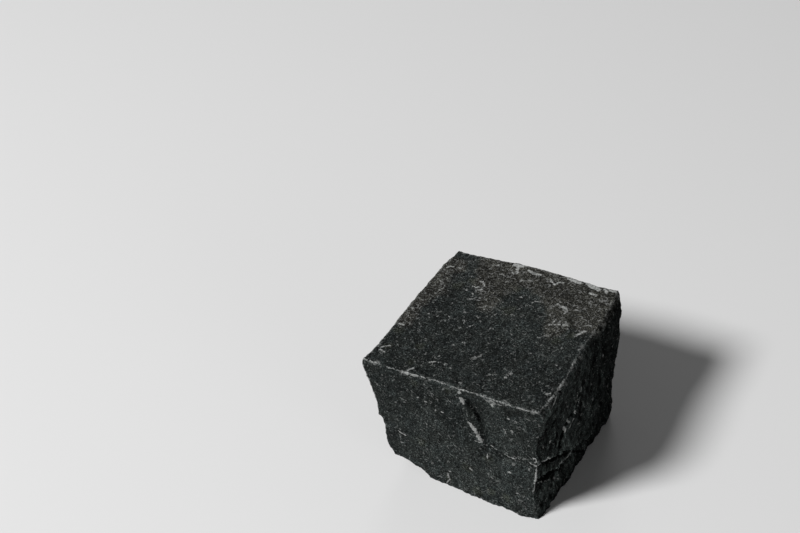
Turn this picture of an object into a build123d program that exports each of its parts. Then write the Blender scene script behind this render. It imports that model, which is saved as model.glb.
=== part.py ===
from build123d import *
import math
import os

# ---------------------------------------------------------------------------
# Basalt cobblestone (sett), hand split, 15 x 15 x 12 cm trade size.
# One natural piece: flat dressed top, four cleft sides that draw in towards a
# smaller flat base. Millimetres, +Z up, base on z = 0, front towards -Y.
# ---------------------------------------------------------------------------

HEIGHT = 119.0          # base to dressed top
PLAN_SCALE = 1.0        # uniform plan factor on the measured outline
CRUSH = 2.6             # height of the crushed band under the top arris
CHIP_HEIGHT = 13.2      # broken lower front left corner

# Heights of the twelve courses of points round the stone, top to base.
LEVELS = [HEIGHT, HEIGHT - CRUSH, 108.0, 97.0, 85.0, 73.5, 64.0, 52.0, 38.0, 24.0, 11.0, 0.0]

# The four upright arrises, one (x, y, z) per level.
FRONT_LEFT = [
    (-75.0, -77.4, LEVELS[0]), (-75.8, -78.3, LEVELS[1]), (-75.4, -77.2, 108.5), (-73.7, -76.2, 96.0),
    (-70.6, -75.2, 84.0), (-69.2, -74.1, 73.5), (-69.8, -73.2, 59.0), (-65.5, -72.0, 48.8),
    (-66.6, -70.6, 35.0), (-65.7, -69.4, 23.5), (-61.8, -68.2, CHIP_HEIGHT), (-55.0, -52.5, 0.0),
]
FRONT_RIGHT = [
    (73.4, -77.9, LEVELS[0]), (76.0, -77.2, LEVELS[1]), (76.9, -74.8, 107.0), (76.0, -73.6, 97.5),
    (72.2, -75.6, 85.5), (70.1, -75.8, 74.5), (72.8, -75.6, 66.0), (69.6, -75.1, 51.0),
    (67.8, -74.4, 36.5), (65.6, -73.7, 24.0), (66.9, -73.4, 11.5), (69.2, -72.6, 0.0),
]
BACK_RIGHT = [
    (72.2, 78.4, LEVELS[0]), (73.0, 79.2, LEVELS[1]), (74.0, 78.0, 107.0), (74.4, 76.6, 96.0),
    (75.2, 75.0, 84.0), (75.8, 73.4, 73.0), (75.4, 72.0, 62.0), (74.6, 70.6, 50.0),
    (74.0, 69.2, 38.0), (73.2, 67.6, 24.0), (73.8, 64.6, 10.0), (73.4, 60.6, 0.0),
]
BACK_LEFT = [
    (-70.2, 75.4, LEVELS[0]), (-71.4, 76.4, LEVELS[1]), (-71.8, 76.0, 108.0), (-70.6, 74.4, 98.0),
    (-69.0, 71.6, 86.0), (-69.6, 70.2, 74.0), (-68.0, 67.6, 63.0), (-66.0, 66.8, 51.0),
    (-65.4, 65.0, 38.0), (-62.6, 62.4, 25.0), (-61.6, 61.8, 12.0), (-58.6, 57.4, 0.0),
]

# Each side: where its columns stand between the two arrises (0 = left end seen
# from outside, 1 = right end), how far each point stands out from the straight
# chord, and how much it is raised or lowered. Rows run from the top to the base.

FRONT_AT = [
    [0.11, 0.22, 0.33, 0.45, 0.563, 0.585, 0.70, 0.82, 0.92],
    [0.11, 0.22, 0.33, 0.45, 0.558, 0.584, 0.70, 0.82, 0.92],
    [0.11, 0.22, 0.33, 0.45, 0.557, 0.588, 0.70, 0.82, 0.92],
    [0.11, 0.22, 0.33, 0.45, 0.575, 0.612, 0.71, 0.82, 0.92],
    [0.11, 0.22, 0.33, 0.46, 0.605, 0.640, 0.73, 0.83, 0.92],
    [0.11, 0.22, 0.34, 0.48, 0.645, 0.675, 0.75, 0.84, 0.92],
    [0.12, 0.23, 0.35, 0.50, 0.680, 0.700, 0.77, 0.85, 0.93],
    [0.12, 0.23, 0.35, 0.50, 0.690, 0.715, 0.78, 0.85, 0.93],
    [0.12, 0.23, 0.35, 0.48, 0.640, 0.690, 0.77, 0.85, 0.93],
    [0.11, 0.22, 0.34, 0.46, 0.600, 0.670, 0.76, 0.85, 0.93],
    [0.10, 0.20, 0.31, 0.44, 0.560, 0.640, 0.74, 0.84, 0.92],
    [0.08, 0.16, 0.27, 0.42, 0.540, 0.630, 0.74, 0.84, 0.92],
]
FRONT_OUT = [
    [0.5, 1.2, 0.4, -0.6, 0.9, 0.4, 0.3, 1.0, 0.9],
    [0.4, 1.6, 0.6, 0.2, 1.3, 0.0, 0.6, 1.4, 0.9],
    [0.6, 1.4, 1.3, 1.2, 1.6, -1.6, -1.7, -0.6, 0.6],
    [0.4, 0.8, 1.6, 1.5, 1.6, -2.6, -1.9, -0.4, 1.2],
    [0.0, 0.9, 1.4, 1.8, 1.4, -2.4, -1.8, -0.9, -0.2],
    [-0.2, 0.7, 1.6, 1.5, 1.3, -1.4, -1.6, -0.8, -0.3],
    [0.3, 1.1, 1.3, 1.5, 1.0, -0.1, -1.2, -0.9, -0.3],
    [0.2, 0.7, 1.3, 1.8, 0.6, 0.3, 0.3, 0.8, 0.6],
    [-0.3, 0.6, 1.6, 1.6, 1.4, 1.5, 1.6, 1.6, 1.0],
    [0.2, 0.9, 1.4, 1.4, 1.8, 2.0, 1.6, 2.0, 1.6],
    [0.4, 0.6, 1.6, 1.4, 2.6, 2.4, 2.2, 2.8, 2.6],
    [2.0, 9.2, 12.2, 8.4, 9.6, 7.2, 5.8, 5.0, 3.9],
]
FRONT_LIFT = [
    [0, 0, 0, 0, 0, 0, 0, 0, 0],
    [0.4, -1.6, -0.2, 0.8, -0.6, -0.2, -2.0, 0.3, 0.2],
    [1.0, 0.0, 1.0, 0.0, 0.5, 1.0, -1.0, 1.0, 0.0],
    [0.0, 1.5, -1.0, 1.0, 1.0, 1.5, 0.0, -1.0, 1.0],
    [1.0, -1.0, 1.5, 0.0, 0.0, 0.0, 1.0, 0.5, 0.0],
    [-1.0, 1.0, 0.0, 1.5, -0.5, -0.5, -1.0, 0.0, 1.0],
    [1.0, 0.0, 1.0, -1.0, -1.0, -1.0, -2.0, -1.5, -1.5],
    [0.0, 1.0, 0.0, 1.0, 1.5, 2.0, 1.5, 0.0, 1.0],
    [1.0, -1.0, 1.0, 0.0, 1.0, -1.0, 1.0, 1.0, 0.0],
    [1.0, 0.0, 1.0, 0.0, -1.0, 0.0, 0.0, -1.0, 1.0],
    [-0.1, -0.9, -5.6, -2.6, 0.0, 1.0, -1.0, 0.0, -0.5],
    [0, 0, 0, 0, 0, 0, 0, 0, 0],
]

RIGHT_AT = [
    [0.10, 0.20, 0.31, 0.42, 0.52, 0.63, 0.75, 0.88],
    [0.10, 0.20, 0.31, 0.42, 0.52, 0.63, 0.75, 0.88],
    [0.09, 0.20, 0.31, 0.42, 0.53, 0.64, 0.76, 0.88],
    [0.07, 0.19, 0.31, 0.43, 0.54, 0.65, 0.76, 0.88],
    [0.07, 0.18, 0.30, 0.42, 0.53, 0.65, 0.76, 0.88],
    [0.07, 0.17, 0.30, 0.40, 0.50, 0.63, 0.75, 0.88],
    [0.09, 0.18, 0.255, 0.295, 0.45, 0.61, 0.75, 0.88],
    [0.10, 0.19, 0.26, 0.33, 0.47, 0.61, 0.75, 0.88],
    [0.10, 0.20, 0.29, 0.38, 0.50, 0.62, 0.75, 0.88],
    [0.10, 0.20, 0.30, 0.41, 0.52, 0.63, 0.75, 0.88],
    [0.10, 0.20, 0.31, 0.42, 0.52, 0.63, 0.75, 0.88],
    [0.10, 0.20, 0.31, 0.42, 0.52, 0.63, 0.75, 0.88],
]
RIGHT_OUT = [
    [2.6, 3.6, 3.4, 2.0, 0.9, 1.6, 2.8, 2.2],
    [1.9, 3.0, 3.0, 1.6, 1.2, 2.2, 3.6, 2.8],
    [-0.6, 1.2, 1.8, 1.0, 1.4, 3.4, 4.4, 3.2],
    [-2.6, -0.4, 1.0, 0.4, 1.6, 3.4, 3.2, 2.0],
    [-1.6, 0.4, 1.6, 1.6, 2.8, 2.4, 2.0, 1.4],
    [-1.2, 0.6, 0.8, 2.8, 3.8, 2.0, 0.8, 1.2],
    [0.0, 0.4, 0.2, 3.6, 3.4, 1.4, 1.0, 0.2],
    [2.2, 2.4, 2.6, 4.2, 3.6, 1.8, 0.2, 0.8],
    [-1.2, -0.8, 0.6, 3.6, 3.4, 1.6, 0.8, 0.0],
    [1.4, 0.2, 0.2, 1.2, 2.4, 1.8, 0.2, 0.8],
    [2.2, 1.8, 1.4, 1.6, 1.4, 1.0, 1.2, 0.4],
    [1.6, 0.4, 2.0, 1.6, 0.8, 0.0, 0.4, 1.0],
]
RIGHT_LIFT = [
    [0, 0, 0, 0, 0, 0, 0, 0],
    [-0.4, 0.6, -0.8, 0.2, 0.8, -0.6, 0.2, 0.6],
    [1.0, -2.0, 1.0, -1.0, 1.5, -1.0, 0.0, 1.0],
    [-1.0, 1.5, -2.0, 1.0, -1.5, 1.0, 1.5, 0.0],
    [0.0, -1.5, 1.0, -1.0, 0.0, 1.0, -1.0, 1.0],
    [-2.5, -4.0, -5.0, -6.5, -4.0, -2.0, 1.0, -1.0],
    [-3.0, -5.5, -8.0, -9.0, -7.0, -4.0, -2.0, 1.0],
    [5.5, 1.0, -3.5, -8.0, -9.0, -6.0, -3.0, -1.0],
    [11.0, 7.0, 3.0, -3.0, -6.0, -5.0, -3.0, -1.0],
    [7.0, 6.0, 4.5, 0.0, -3.5, -3.0, -2.0, 0.0],
    [1.0, 2.0, 1.5, 0.0, -1.0, -1.5, 0.5, 0.5],
    [0, 0, 0, 0, 0, 0, 0, 0],
]

BACK_AT = [
    [0.12, 0.25, 0.38, 0.50, 0.62, 0.75, 0.88],
    [0.12, 0.25, 0.38, 0.50, 0.62, 0.75, 0.88],
    [0.12, 0.25, 0.37, 0.48, 0.60, 0.73, 0.87],
    [0.12, 0.25, 0.37, 0.48, 0.60, 0.73, 0.87],
    [0.12, 0.24, 0.36, 0.48, 0.60, 0.72, 0.86],
    [0.12, 0.24, 0.36, 0.48, 0.60, 0.72, 0.86],
    [0.12, 0.24, 0.36, 0.49, 0.61, 0.73, 0.86],
    [0.12, 0.24, 0.37, 0.49, 0.61, 0.73, 0.86],
    [0.12, 0.25, 0.37, 0.49, 0.61, 0.74, 0.87],
    [0.12, 0.25, 0.37, 0.50, 0.62, 0.74, 0.87],
    [0.12, 0.25, 0.38, 0.50, 0.62, 0.75, 0.88],
    [0.12, 0.25, 0.38, 0.50, 0.62, 0.75, 0.88],
]
BACK_OUT = [
    [-0.2, 1.0, 2.6, 3.4, 3.2, 1.2, 0.5],
    [0.3, 1.5, 3.1, 3.9, 3.7, 1.7, 1.0],
    [0.9, 1.8, 2.8, 3.2, 2.8, 1.3, 0.7],
    [1.7, 2.7, 3.0, 3.1, 1.4, 0.4, 0.8],
    [2.1, 3.1, 3.8, 3.6, 1.0, 0.0, 1.4],
    [1.9, 3.0, 4.0, 4.2, 2.3, 1.3, 1.8],
    [1.7, 2.8, 3.9, 4.8, 4.0, 3.1, 2.1],
    [1.6, 2.6, 3.8, 4.9, 4.5, 3.6, 2.5],
    [1.4, 2.5, 3.6, 4.7, 4.0, 3.0, 2.1],
    [1.1, 2.3, 3.4, 4.1, 3.2, 2.3, 1.4],
    [0.9, 2.1, 2.9, 3.1, 2.6, 1.6, 0.6],
    [0.8, 1.6, 1.8, 2.0, 2.0, 1.1, 0.1],
]
BACK_LIFT = [
    [0, 0, 0, 0, 0, 0, 0],
    [0.4, -0.6, 0.6, 0.0, -0.8, 0.4, 0.2],
    [1.0, -1.0, 0.5, 1.0, -1.0, 1.0, -1.0],
    [-1.0, 1.0, 1.0, -1.0, 1.0, 1.0, 0.0],
    [1.0, -1.0, 0.0, 1.0, 0.0, -1.0, 1.0],
    [-1.0, 1.0, -1.0, 0.5, 1.0, 1.0, -1.0],
    [1.0, 0.0, 1.0, -1.0, -1.0, 0.0, 1.0],
    [0.0, -1.0, 1.0, 1.0, -1.0, -1.0, 0.5],
    [1.0, 1.0, -1.0, 0.5, 0.0, -1.0, 1.0],
    [-1.0, 1.0, 0.5, -1.0, 1.0, 0.0, -1.0],
    [1.0, -1.0, 1.0, 1.0, -1.0, 1.0, 0.5],
    [0, 0, 0, 0, 0, 0, 0],
]

LEFT_AT = [
    [0.13, 0.26, 0.39, 0.51, 0.63, 0.76, 0.88],
    [0.13, 0.26, 0.39, 0.51, 0.63, 0.76, 0.88],
    [0.13, 0.26, 0.38, 0.51, 0.63, 0.76, 0.88],
    [0.13, 0.25, 0.38, 0.50, 0.63, 0.75, 0.88],
    [0.13, 0.25, 0.38, 0.50, 0.62, 0.75, 0.88],
    [0.13, 0.26, 0.39, 0.51, 0.62, 0.74, 0.87],
    [0.13, 0.26, 0.39, 0.52, 0.63, 0.75, 0.87],
    [0.12, 0.25, 0.39, 0.52, 0.64, 0.76, 0.88],
    [0.12, 0.25, 0.38, 0.51, 0.64, 0.76, 0.88],
    [0.12, 0.25, 0.38, 0.50, 0.63, 0.76, 0.88],
    [0.13, 0.26, 0.39, 0.51, 0.63, 0.76, 0.88],
    [0.13, 0.26, 0.39, 0.51, 0.63, 0.76, 0.88],
]
LEFT_OUT = [
    [2.4, 1.7, 1.8, 1.3, 0.3, -1.1, -1.4],
    [2.9, 2.2, 2.3, 1.8, 0.8, -0.6, -0.9],
    [2.4, 1.8, 1.8, 1.3, 0.6, -0.4, -0.8],
    [2.5, 2.1, 1.9, 1.6, 1.2, 0.6, 0.4],
    [2.9, 2.7, 2.4, 2.2, 1.9, 1.7, 1.4],
    [2.8, 3.2, 2.9, 2.7, 2.4, 2.2, 1.9],
    [2.6, 3.6, 3.3, 3.1, 2.9, 2.6, 2.0],
    [2.3, 3.6, 3.9, 3.6, 3.2, 2.3, 1.5],
    [2.1, 1.7, 3.1, 3.5, 2.7, 1.8, 1.1],
    [1.0, 0.4, 1.5, 3.0, 2.2, 1.3, 0.6],
    [1.2, -0.1, 0.5, 2.3, 1.7, 0.9, 0.1],
    [0.7, 0.1, 0.7, 1.0, 1.1, 0.5, -0.3],
]
LEFT_LIFT = [
    [0, 0, 0, 0, 0, 0, 0],
    [-0.4, 0.6, -0.6, 0.4, 0.8, -0.4, 0.2],
    [1.0, -1.0, 1.0, -1.0, 1.0, 0.5, -1.0],
    [-1.0, 1.0, 0.0, 1.0, -1.0, 1.0, 1.0],
    [1.0, -1.0, 1.0, -1.0, 1.0, -1.0, 0.0],
    [-1.0, 1.0, -1.0, 1.0, 1.0, 1.0, -1.0],
    [1.0, 1.0, -1.0, -1.0, 1.0, 1.0, 0.5],
    [1.0, -1.0, 1.0, -1.0, 0.0, 1.0, -1.0],
    [-1.0, 1.0, 1.0, 0.0, -1.0, 1.0, 1.0],
    [1.0, 0.0, -1.0, 1.0, 1.0, -1.0, 0.0],
    [-1.0, 1.0, 1.0, -1.0, 1.0, 1.0, -1.0],
    [0, 0, 0, 0, 0, 0, 0],
]


def run_of(arris):
    """The arris without its own raggedness, which dies out before the side's first column."""
    line = [tuple(p) for p in arris]
    for _ in range(3):
        line = line[:2] + [
            tuple((a + 2 * b + c) / 4 for a, b, c in zip(line[i - 1], line[i], line[i + 1]))
            for i in range(2, len(line) - 2)
        ] + line[-2:]
    return line


def side_points(row, start, end, at, out, lift):
    """Points of one side at one level, from its first arris up to but not including the next."""
    (x0, y0, z0), (x1, y1, z1) = run_of(start)[row], run_of(end)[row]
    length = math.hypot(x1 - x0, y1 - y0)
    nx, ny = (y1 - y0) / length, -(x1 - x0) / length   # outward, walking counter-clockwise seen from above
    points = [tuple(start[row])]
    for t, o, dz in zip(at[row], out[row], lift[row]):
        points.append((x0 + (x1 - x0) * t + nx * o, y0 + (y1 - y0) * t + ny * o, z0 + (z1 - z0) * t + dz))
    return points


def ring(row):
    points = side_points(row, FRONT_LEFT, FRONT_RIGHT, FRONT_AT, FRONT_OUT, FRONT_LIFT)
    points += side_points(row, FRONT_RIGHT, BACK_RIGHT, RIGHT_AT, RIGHT_OUT, RIGHT_LIFT)
    points += side_points(row, BACK_RIGHT, BACK_LEFT, BACK_AT, BACK_OUT, BACK_LIFT)
    points += side_points(row, BACK_LEFT, FRONT_LEFT, LEFT_AT, LEFT_OUT, LEFT_LIFT)
    return points


rings = [ring(row) for row in range(len(LEVELS))]

# Centre the whole outline on the origin, so the origin is the middle of the base.
every = [p for r in rings for p in r]
mid_x = (min(p[0] for p in every) + max(p[0] for p in every)) / 2
mid_y = (min(p[1] for p in every) + max(p[1] for p in every)) / 2
rings = [[Vector((x - mid_x) * PLAN_SCALE, (y - mid_y) * PLAN_SCALE, z) for x, y, z in r] for r in rings]


def facet(*corners):
    return Face(Wire.make_polygon(list(corners), close=True))


faces = [facet(*rings[0]), facet(*rings[-1])]
count = len(rings[0])
for upper, lower in zip(rings[:-1], rings[1:]):
    for i in range(count):
        j = (i + 1) % count
        a, b, c, d = upper[i], upper[j], lower[j], lower[i]
        # Split each patch along the diagonal that keeps the ridge, so no facet folds inwards.
        middle_ac, middle_bd = (a + c) * 0.5, (b + d) * 0.5
        if middle_ac.X ** 2 + middle_ac.Y ** 2 >= middle_bd.X ** 2 + middle_bd.Y ** 2:
            faces += [facet(a, b, c), facet(a, c, d)]
        else:
            faces += [facet(a, b, d), facet(b, c, d)]

cobblestone = Solid(Shell(faces))
if cobblestone.volume < 0:
    cobblestone = Solid(Shell([-f for f in faces]))
cobblestone.label = "cobblestone"

os.makedirs("parts", exist_ok=True)
export_step(cobblestone, "parts/cobblestone.step")
box = cobblestone.bounding_box()
print("size", box.size, "min", box.min, "volume cm3", round(cobblestone.volume / 1000, 1),
      "valid", cobblestone.is_valid, "shift", round(mid_x, 3), round(mid_y, 3))
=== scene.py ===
import math

import bpy
import numpy as np
from mathutils import Matrix, Vector
from mathutils.bvhtree import BVHTree


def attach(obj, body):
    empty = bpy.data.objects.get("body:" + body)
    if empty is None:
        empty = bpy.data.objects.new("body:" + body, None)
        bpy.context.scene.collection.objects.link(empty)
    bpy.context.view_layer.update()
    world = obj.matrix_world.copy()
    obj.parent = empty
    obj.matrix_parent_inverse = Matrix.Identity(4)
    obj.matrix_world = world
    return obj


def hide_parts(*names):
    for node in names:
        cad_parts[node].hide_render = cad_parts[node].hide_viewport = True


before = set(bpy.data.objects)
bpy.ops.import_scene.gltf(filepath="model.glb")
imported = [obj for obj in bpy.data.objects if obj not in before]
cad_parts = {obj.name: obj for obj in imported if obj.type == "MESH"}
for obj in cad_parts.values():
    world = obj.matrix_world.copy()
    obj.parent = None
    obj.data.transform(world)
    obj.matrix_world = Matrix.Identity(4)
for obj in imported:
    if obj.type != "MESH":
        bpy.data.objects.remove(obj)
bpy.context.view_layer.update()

# ---------------------------------------------------------------------------
# Basalt cobblestone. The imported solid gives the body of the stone; this script
# lays a fine grid over it and works the split, flamed and crushed surface into
# that grid. Millimetres while working, metres in the mesh.
# ---------------------------------------------------------------------------

HEIGHT = 119.0
CRUSH = 2.6
SHIFT = np.array([1.424, 1.021, 0.0])    # table frame to the stone's own frame

# The four upright arrises of the solid, top to base.
FRONT_LEFT = [
    (-75.0, -77.4, 119.0), (-75.8, -78.3, 116.4), (-75.4, -77.2, 108.5), (-73.7, -76.2, 96.0),
    (-70.6, -75.2, 84.0), (-69.2, -74.1, 73.5), (-69.8, -73.2, 59.0), (-65.5, -72.0, 48.8),
    (-66.6, -70.6, 35.0), (-65.7, -69.4, 23.5), (-61.8, -68.2, 13.2), (-55.0, -52.5, 0.0),
]
FRONT_RIGHT = [
    (73.4, -77.9, 119.0), (76.0, -77.2, 116.4), (76.9, -74.8, 107.0), (76.0, -73.6, 97.5),
    (72.2, -75.6, 85.5), (70.1, -75.8, 74.5), (72.8, -75.6, 66.0), (69.6, -75.1, 51.0),
    (67.8, -74.4, 36.5), (65.6, -73.7, 24.0), (66.9, -73.4, 11.5), (69.2, -72.6, 0.0),
]
BACK_RIGHT = [
    (72.2, 78.4, 119.0), (73.0, 79.2, 116.4), (74.0, 78.0, 107.0), (74.4, 76.6, 96.0),
    (75.2, 75.0, 84.0), (75.8, 73.4, 73.0), (75.4, 72.0, 62.0), (74.6, 70.6, 50.0),
    (74.0, 69.2, 38.0), (73.2, 67.6, 24.0), (73.8, 64.6, 10.0), (73.4, 60.6, 0.0),
]
BACK_LEFT = [
    (-70.2, 75.4, 119.0), (-71.4, 76.4, 116.4), (-71.8, 76.0, 108.0), (-70.6, 74.4, 98.0),
    (-69.0, 71.6, 86.0), (-69.6, 70.2, 74.0), (-68.0, 67.6, 63.0), (-66.0, 66.8, 51.0),
    (-65.4, 65.0, 38.0), (-62.6, 62.4, 25.0), (-61.6, 61.8, 12.0), (-58.6, 57.4, 0.0),
]
ARRISES = [np.array(a) - SHIFT for a in (FRONT_LEFT, FRONT_RIGHT, BACK_RIGHT, BACK_LEFT)]
FRONT, RIGHT, BACK, LEFT = range(4)

ACROSS = 144      # grid cells along each side of the stone
DOWN = 127        # grid cells from the top arris to the base

rng = np.random.RandomState(20417)

# ---------------------------------------------------------------------------
# Noise
# ---------------------------------------------------------------------------
PERM = rng.permutation(256)
GRADS = rng.normal(size=(256, 3))
GRADS /= np.linalg.norm(GRADS, axis=1)[:, None]
JITTER = rng.uniform(0.08, 0.92, size=(256, 3))
LEVEL = rng.uniform(0, 1, size=256)
TILT = rng.normal(size=(256, 3))


def lattice(i, j, k):
    return PERM[(PERM[(PERM[i & 255] + j) & 255] + k) & 255]


def noise(p, size, seed=0):
    """Smooth noise of about -1 to 1, with features of the given size in mm."""
    q = np.asarray(p) / size + np.array([13.7, 5.1, 29.3]) * (seed + 1)
    i = np.floor(q).astype(np.int64)
    f = q - i
    w = f * f * f * (f * (f * 6 - 15) + 10)
    total = 0
    for dx in (0, 1):
        for dy in (0, 1):
            for dz in (0, 1):
                g = GRADS[lattice(i[:, 0] + dx, i[:, 1] + dy, i[:, 2] + dz)]
                dot = (g * (f - (dx, dy, dz))).sum(1)
                share = (w[:, 0] if dx else 1 - w[:, 0]) * (w[:, 1] if dy else 1 - w[:, 1]) * (w[:, 2] if dz else 1 - w[:, 2])
                total = total + share * dot
    return total * 1.7


def fractal(p, size, octaves=4, gain=0.5, seed=0):
    total, weight, amount = 0, 0, 1.0
    for o in range(octaves):
        total = total + amount * noise(p, size / 2 ** o, seed + 11 * o)
        weight += amount
        amount *= gain
    return total / weight


def ridged(p, size, octaves=3, gain=0.5, seed=0):
    total, weight, amount = 0, 0, 1.0
    for o in range(octaves):
        total = total + amount * (1 - 2 * np.abs(noise(p, size / 2 ** o, seed + 7 * o)))
        weight += amount
        amount *= gain
    return total / weight


def scallops(p, size, seed=0, tilt=0.35, bowl=1.0):
    """Shell-shaped hollows with sharp ridges between them, as a hammer leaves. About 0 to 1, low in the hollows."""
    q = np.asarray(p) / size + np.array([3.3, 17.9, 8.7]) * (seed + 1)
    i = np.floor(q).astype(np.int64)
    best = np.full(len(q), 1e9)
    for dx in (-1, 0, 1):
        for dy in (-1, 0, 1):
            for dz in (-1, 0, 1):
                h = lattice(i[:, 0] + dx, i[:, 1] + dy, i[:, 2] + dz)
                v = q - (i + (dx, dy, dz) + JITTER[h])
                value = 0.5 * LEVEL[h] + tilt * (TILT[h] * v).sum(1) + bowl * (v * v).sum(1)
                best = np.minimum(best, value)
    return best


def facets(p, size, seed=0, tilt=0.5):
    """Flat tilted planes meeting in ridges. About -1 to 1."""
    q = np.asarray(p) / size + np.array([7.1, 2.9, 19.3]) * (seed + 1)
    i = np.floor(q).astype(np.int64)
    best = np.full(len(q), -1e9)
    for dx in (-1, 0, 1):
        for dy in (-1, 0, 1):
            for dz in (-1, 0, 1):
                h = lattice(i[:, 0] + dx, i[:, 1] + dy, i[:, 2] + dz)
                v = q - (i + (dx, dy, dz) + JITTER[h])
                value = 0.4 * LEVEL[h] + tilt * (TILT[h] * v).sum(1) - 0.9 * (v * v).sum(1)
                best = np.maximum(best, value)
    return best


def step(a, b, x):
    """0 below a, 1 above b, smooth between."""
    t = np.clip((np.asarray(x, float) - a) / (b - a), 0, 1)
    return t * t * (3 - 2 * t)


# ---------------------------------------------------------------------------
# The grid laid over the solid
# ---------------------------------------------------------------------------
def spread(count, near, reach, total):
    """Places from 0 to 1 with cells near times finer within reach of both ends."""
    x = np.linspace(0, 1, 4001)
    end = np.minimum(x, 1 - x) * total
    density = 1 / (near + (1 - near) * step(0, reach, end))
    run = np.concatenate([[0], np.cumsum((density[1:] + density[:-1]) / 2)])
    return np.interp(np.linspace(0, 1, count + 1), run / run[-1], x)


along = spread(ACROSS, 0.6, 9.0, 150.0)
heights = HEIGHT * (1 - spread(DOWN, 0.5, 7.0, HEIGHT))

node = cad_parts["cobblestone"]
node.data.calc_loop_triangles()
corners = [tuple(v.co * 1000) for v in node.data.vertices]
tree = BVHTree.FromPolygons(corners, [tuple(t.vertices) for t in node.data.loop_triangles])


def arris_at(k, z):
    a = ARRISES[k % 4][::-1]
    return np.stack([np.interp(z, a[:, 2], a[:, 0]), np.interp(z, a[:, 2], a[:, 1])], 1)


def blurred(field, sigma, axis):
    """Gaussian blur along an axis. The ends are mirrored through their own value, so they stay in place."""
    reach = int(3 * sigma) + 1
    kernel = np.exp(-0.5 * (np.arange(-reach, reach + 1) / sigma) ** 2)
    kernel /= kernel.sum()
    f = np.moveaxis(field, axis, 0)
    head = 2 * f[:1] - f[1:reach + 1][::-1]
    tail = 2 * f[-1:] - f[-reach - 1:-1][::-1]
    g = np.concatenate([head, f, tail])
    out = sum(w * g[n:n + len(f)] for n, w in enumerate(kernel))
    return np.moveaxis(out, 0, axis)


rows = DOWN + 1
ring = 4 * ACROSS
body = np.zeros((rows, ring, 3))          # points of the four sides
side_t = np.zeros((rows, ring))           # 0 to 1 along each side
side_k = np.zeros((rows, ring), int)
for k in range(4):
    start, end = arris_at(k, heights), arris_at(k + 1, heights)
    chord = end - start
    length = np.hypot(chord[:, 0], chord[:, 1])
    out = np.stack([chord[:, 1], -chord[:, 0]], 1) / length[:, None]
    stand = np.full((rows, ACROSS + 1), np.nan)
    for i, z in enumerate(heights):
        zz = min(max(z, 0.02), HEIGHT - 0.02)
        n = Vector((out[i, 0], out[i, 1], 0))
        for j in range(1, ACROSS):
            q = start[i] + chord[i] * along[j]
            hit = tree.ray_cast(Vector((q[0], q[1], zz)) + n * 40, -n, 70)
            if hit[0] is not None:
                stand[i, j] = 40 - hit[3]
    stand[:, 0] = stand[:, -1] = 0
    for i in range(rows):
        gap = np.isnan(stand[i])
        if gap.any():
            stand[i, gap] = np.interp(along[gap], along[~gap], stand[i, ~gap])
    # The solid's flat facets run into each other on the real stone, less so at the scar and the ledge.
    soft = blurred(blurred(stand, 3.4, 1), 3.2, 0)
    firm = blurred(blurred(stand, 1.1, 1), 1.0, 0)
    keep = np.zeros_like(stand)
    if k == FRONT:
        keep = step(0.45, 0.52, along)[None, :] * step(48, 56, heights)[:, None] * np.ones_like(stand)
    if k == RIGHT:
        keep = step(0.5, 0.35, along)[None, :] * step(90, 80, heights)[:, None] * step(20, 32, heights)[:, None] * np.ones_like(stand)
    keep = np.maximum(keep, step(HEIGHT - 6, HEIGHT - 3, heights)[:, None])
    stand = soft * (1 - keep) + firm * keep
    flat = start[:, None] + chord[:, None] * along[None, :, None] + out[:, None] * stand[:, :, None]
    body[:, k * ACROSS:(k + 1) * ACROSS, :2] = flat[:, :-1]
    side_t[:, k * ACROSS:(k + 1) * ACROSS] = along[:-1]
    side_k[:, k * ACROSS:(k + 1) * ACROSS] = k
body[:, :, 2] = heights[:, None]


def filled(edges, s, t):
    """A patch inside four edges: front, right, back and left, each walked counter-clockwise."""
    front, right = edges[0][:, None], edges[1][None, :]
    back, left = edges[2][::-1][:, None], edges[3][::-1][None, :]
    s, t = s[:, None, None], t[None, :, None]
    c00, c10, c01, c11 = edges[0][0], edges[0][-1], edges[2][-1], edges[2][0]
    return (front * (1 - t) + back * t + left * (1 - s) + right * s
            - (c00 * (1 - s) * (1 - t) + c10 * s * (1 - t) + c01 * (1 - s) * t + c11 * s * t))


def edges_of(loop, count):
    return [np.take(loop, range(k * count, (k + 1) * count + 1), axis=0, mode="wrap") for k in range(4)]


top = filled(edges_of(body[0], ACROSS), along, along)
half = ACROSS // 2
half_along = along[::2]
rim = body[-1, ::2].copy()
rim[:, :2] *= 1 - 1.2 / np.linalg.norm(rim[:, :2], axis=1)[:, None]
base = filled(edges_of(rim, half), half_along, half_along)

# Numbering: the sides' rings, then the inside of the top, then the base.
ring_id = np.arange(rows * ring).reshape(rows, ring)
first_top = rows * ring
top_id = np.zeros((ACROSS + 1, ACROSS + 1), int)
top_id[1:-1, 1:-1] = first_top + np.arange((ACROSS - 1) ** 2).reshape(ACROSS - 1, ACROSS - 1)
n = ACROSS
top_id[:, 0] = ring_id[0, :n + 1]
top_id[n, :] = ring_id[0, n:2 * n + 1]
top_id[:, n] = ring_id[0, 2 * n:3 * n + 1][::-1]
top_id[0, 1:] = ring_id[0, 3 * n:4 * n][::-1]
first_base = first_top + (ACROSS - 1) ** 2
base_id = first_base + np.arange((half + 1) ** 2).reshape(half + 1, half + 1)
points = np.concatenate([body.reshape(-1, 3), top[1:-1, 1:-1].reshape(-1, 3), base.reshape(-1, 3)])

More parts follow.
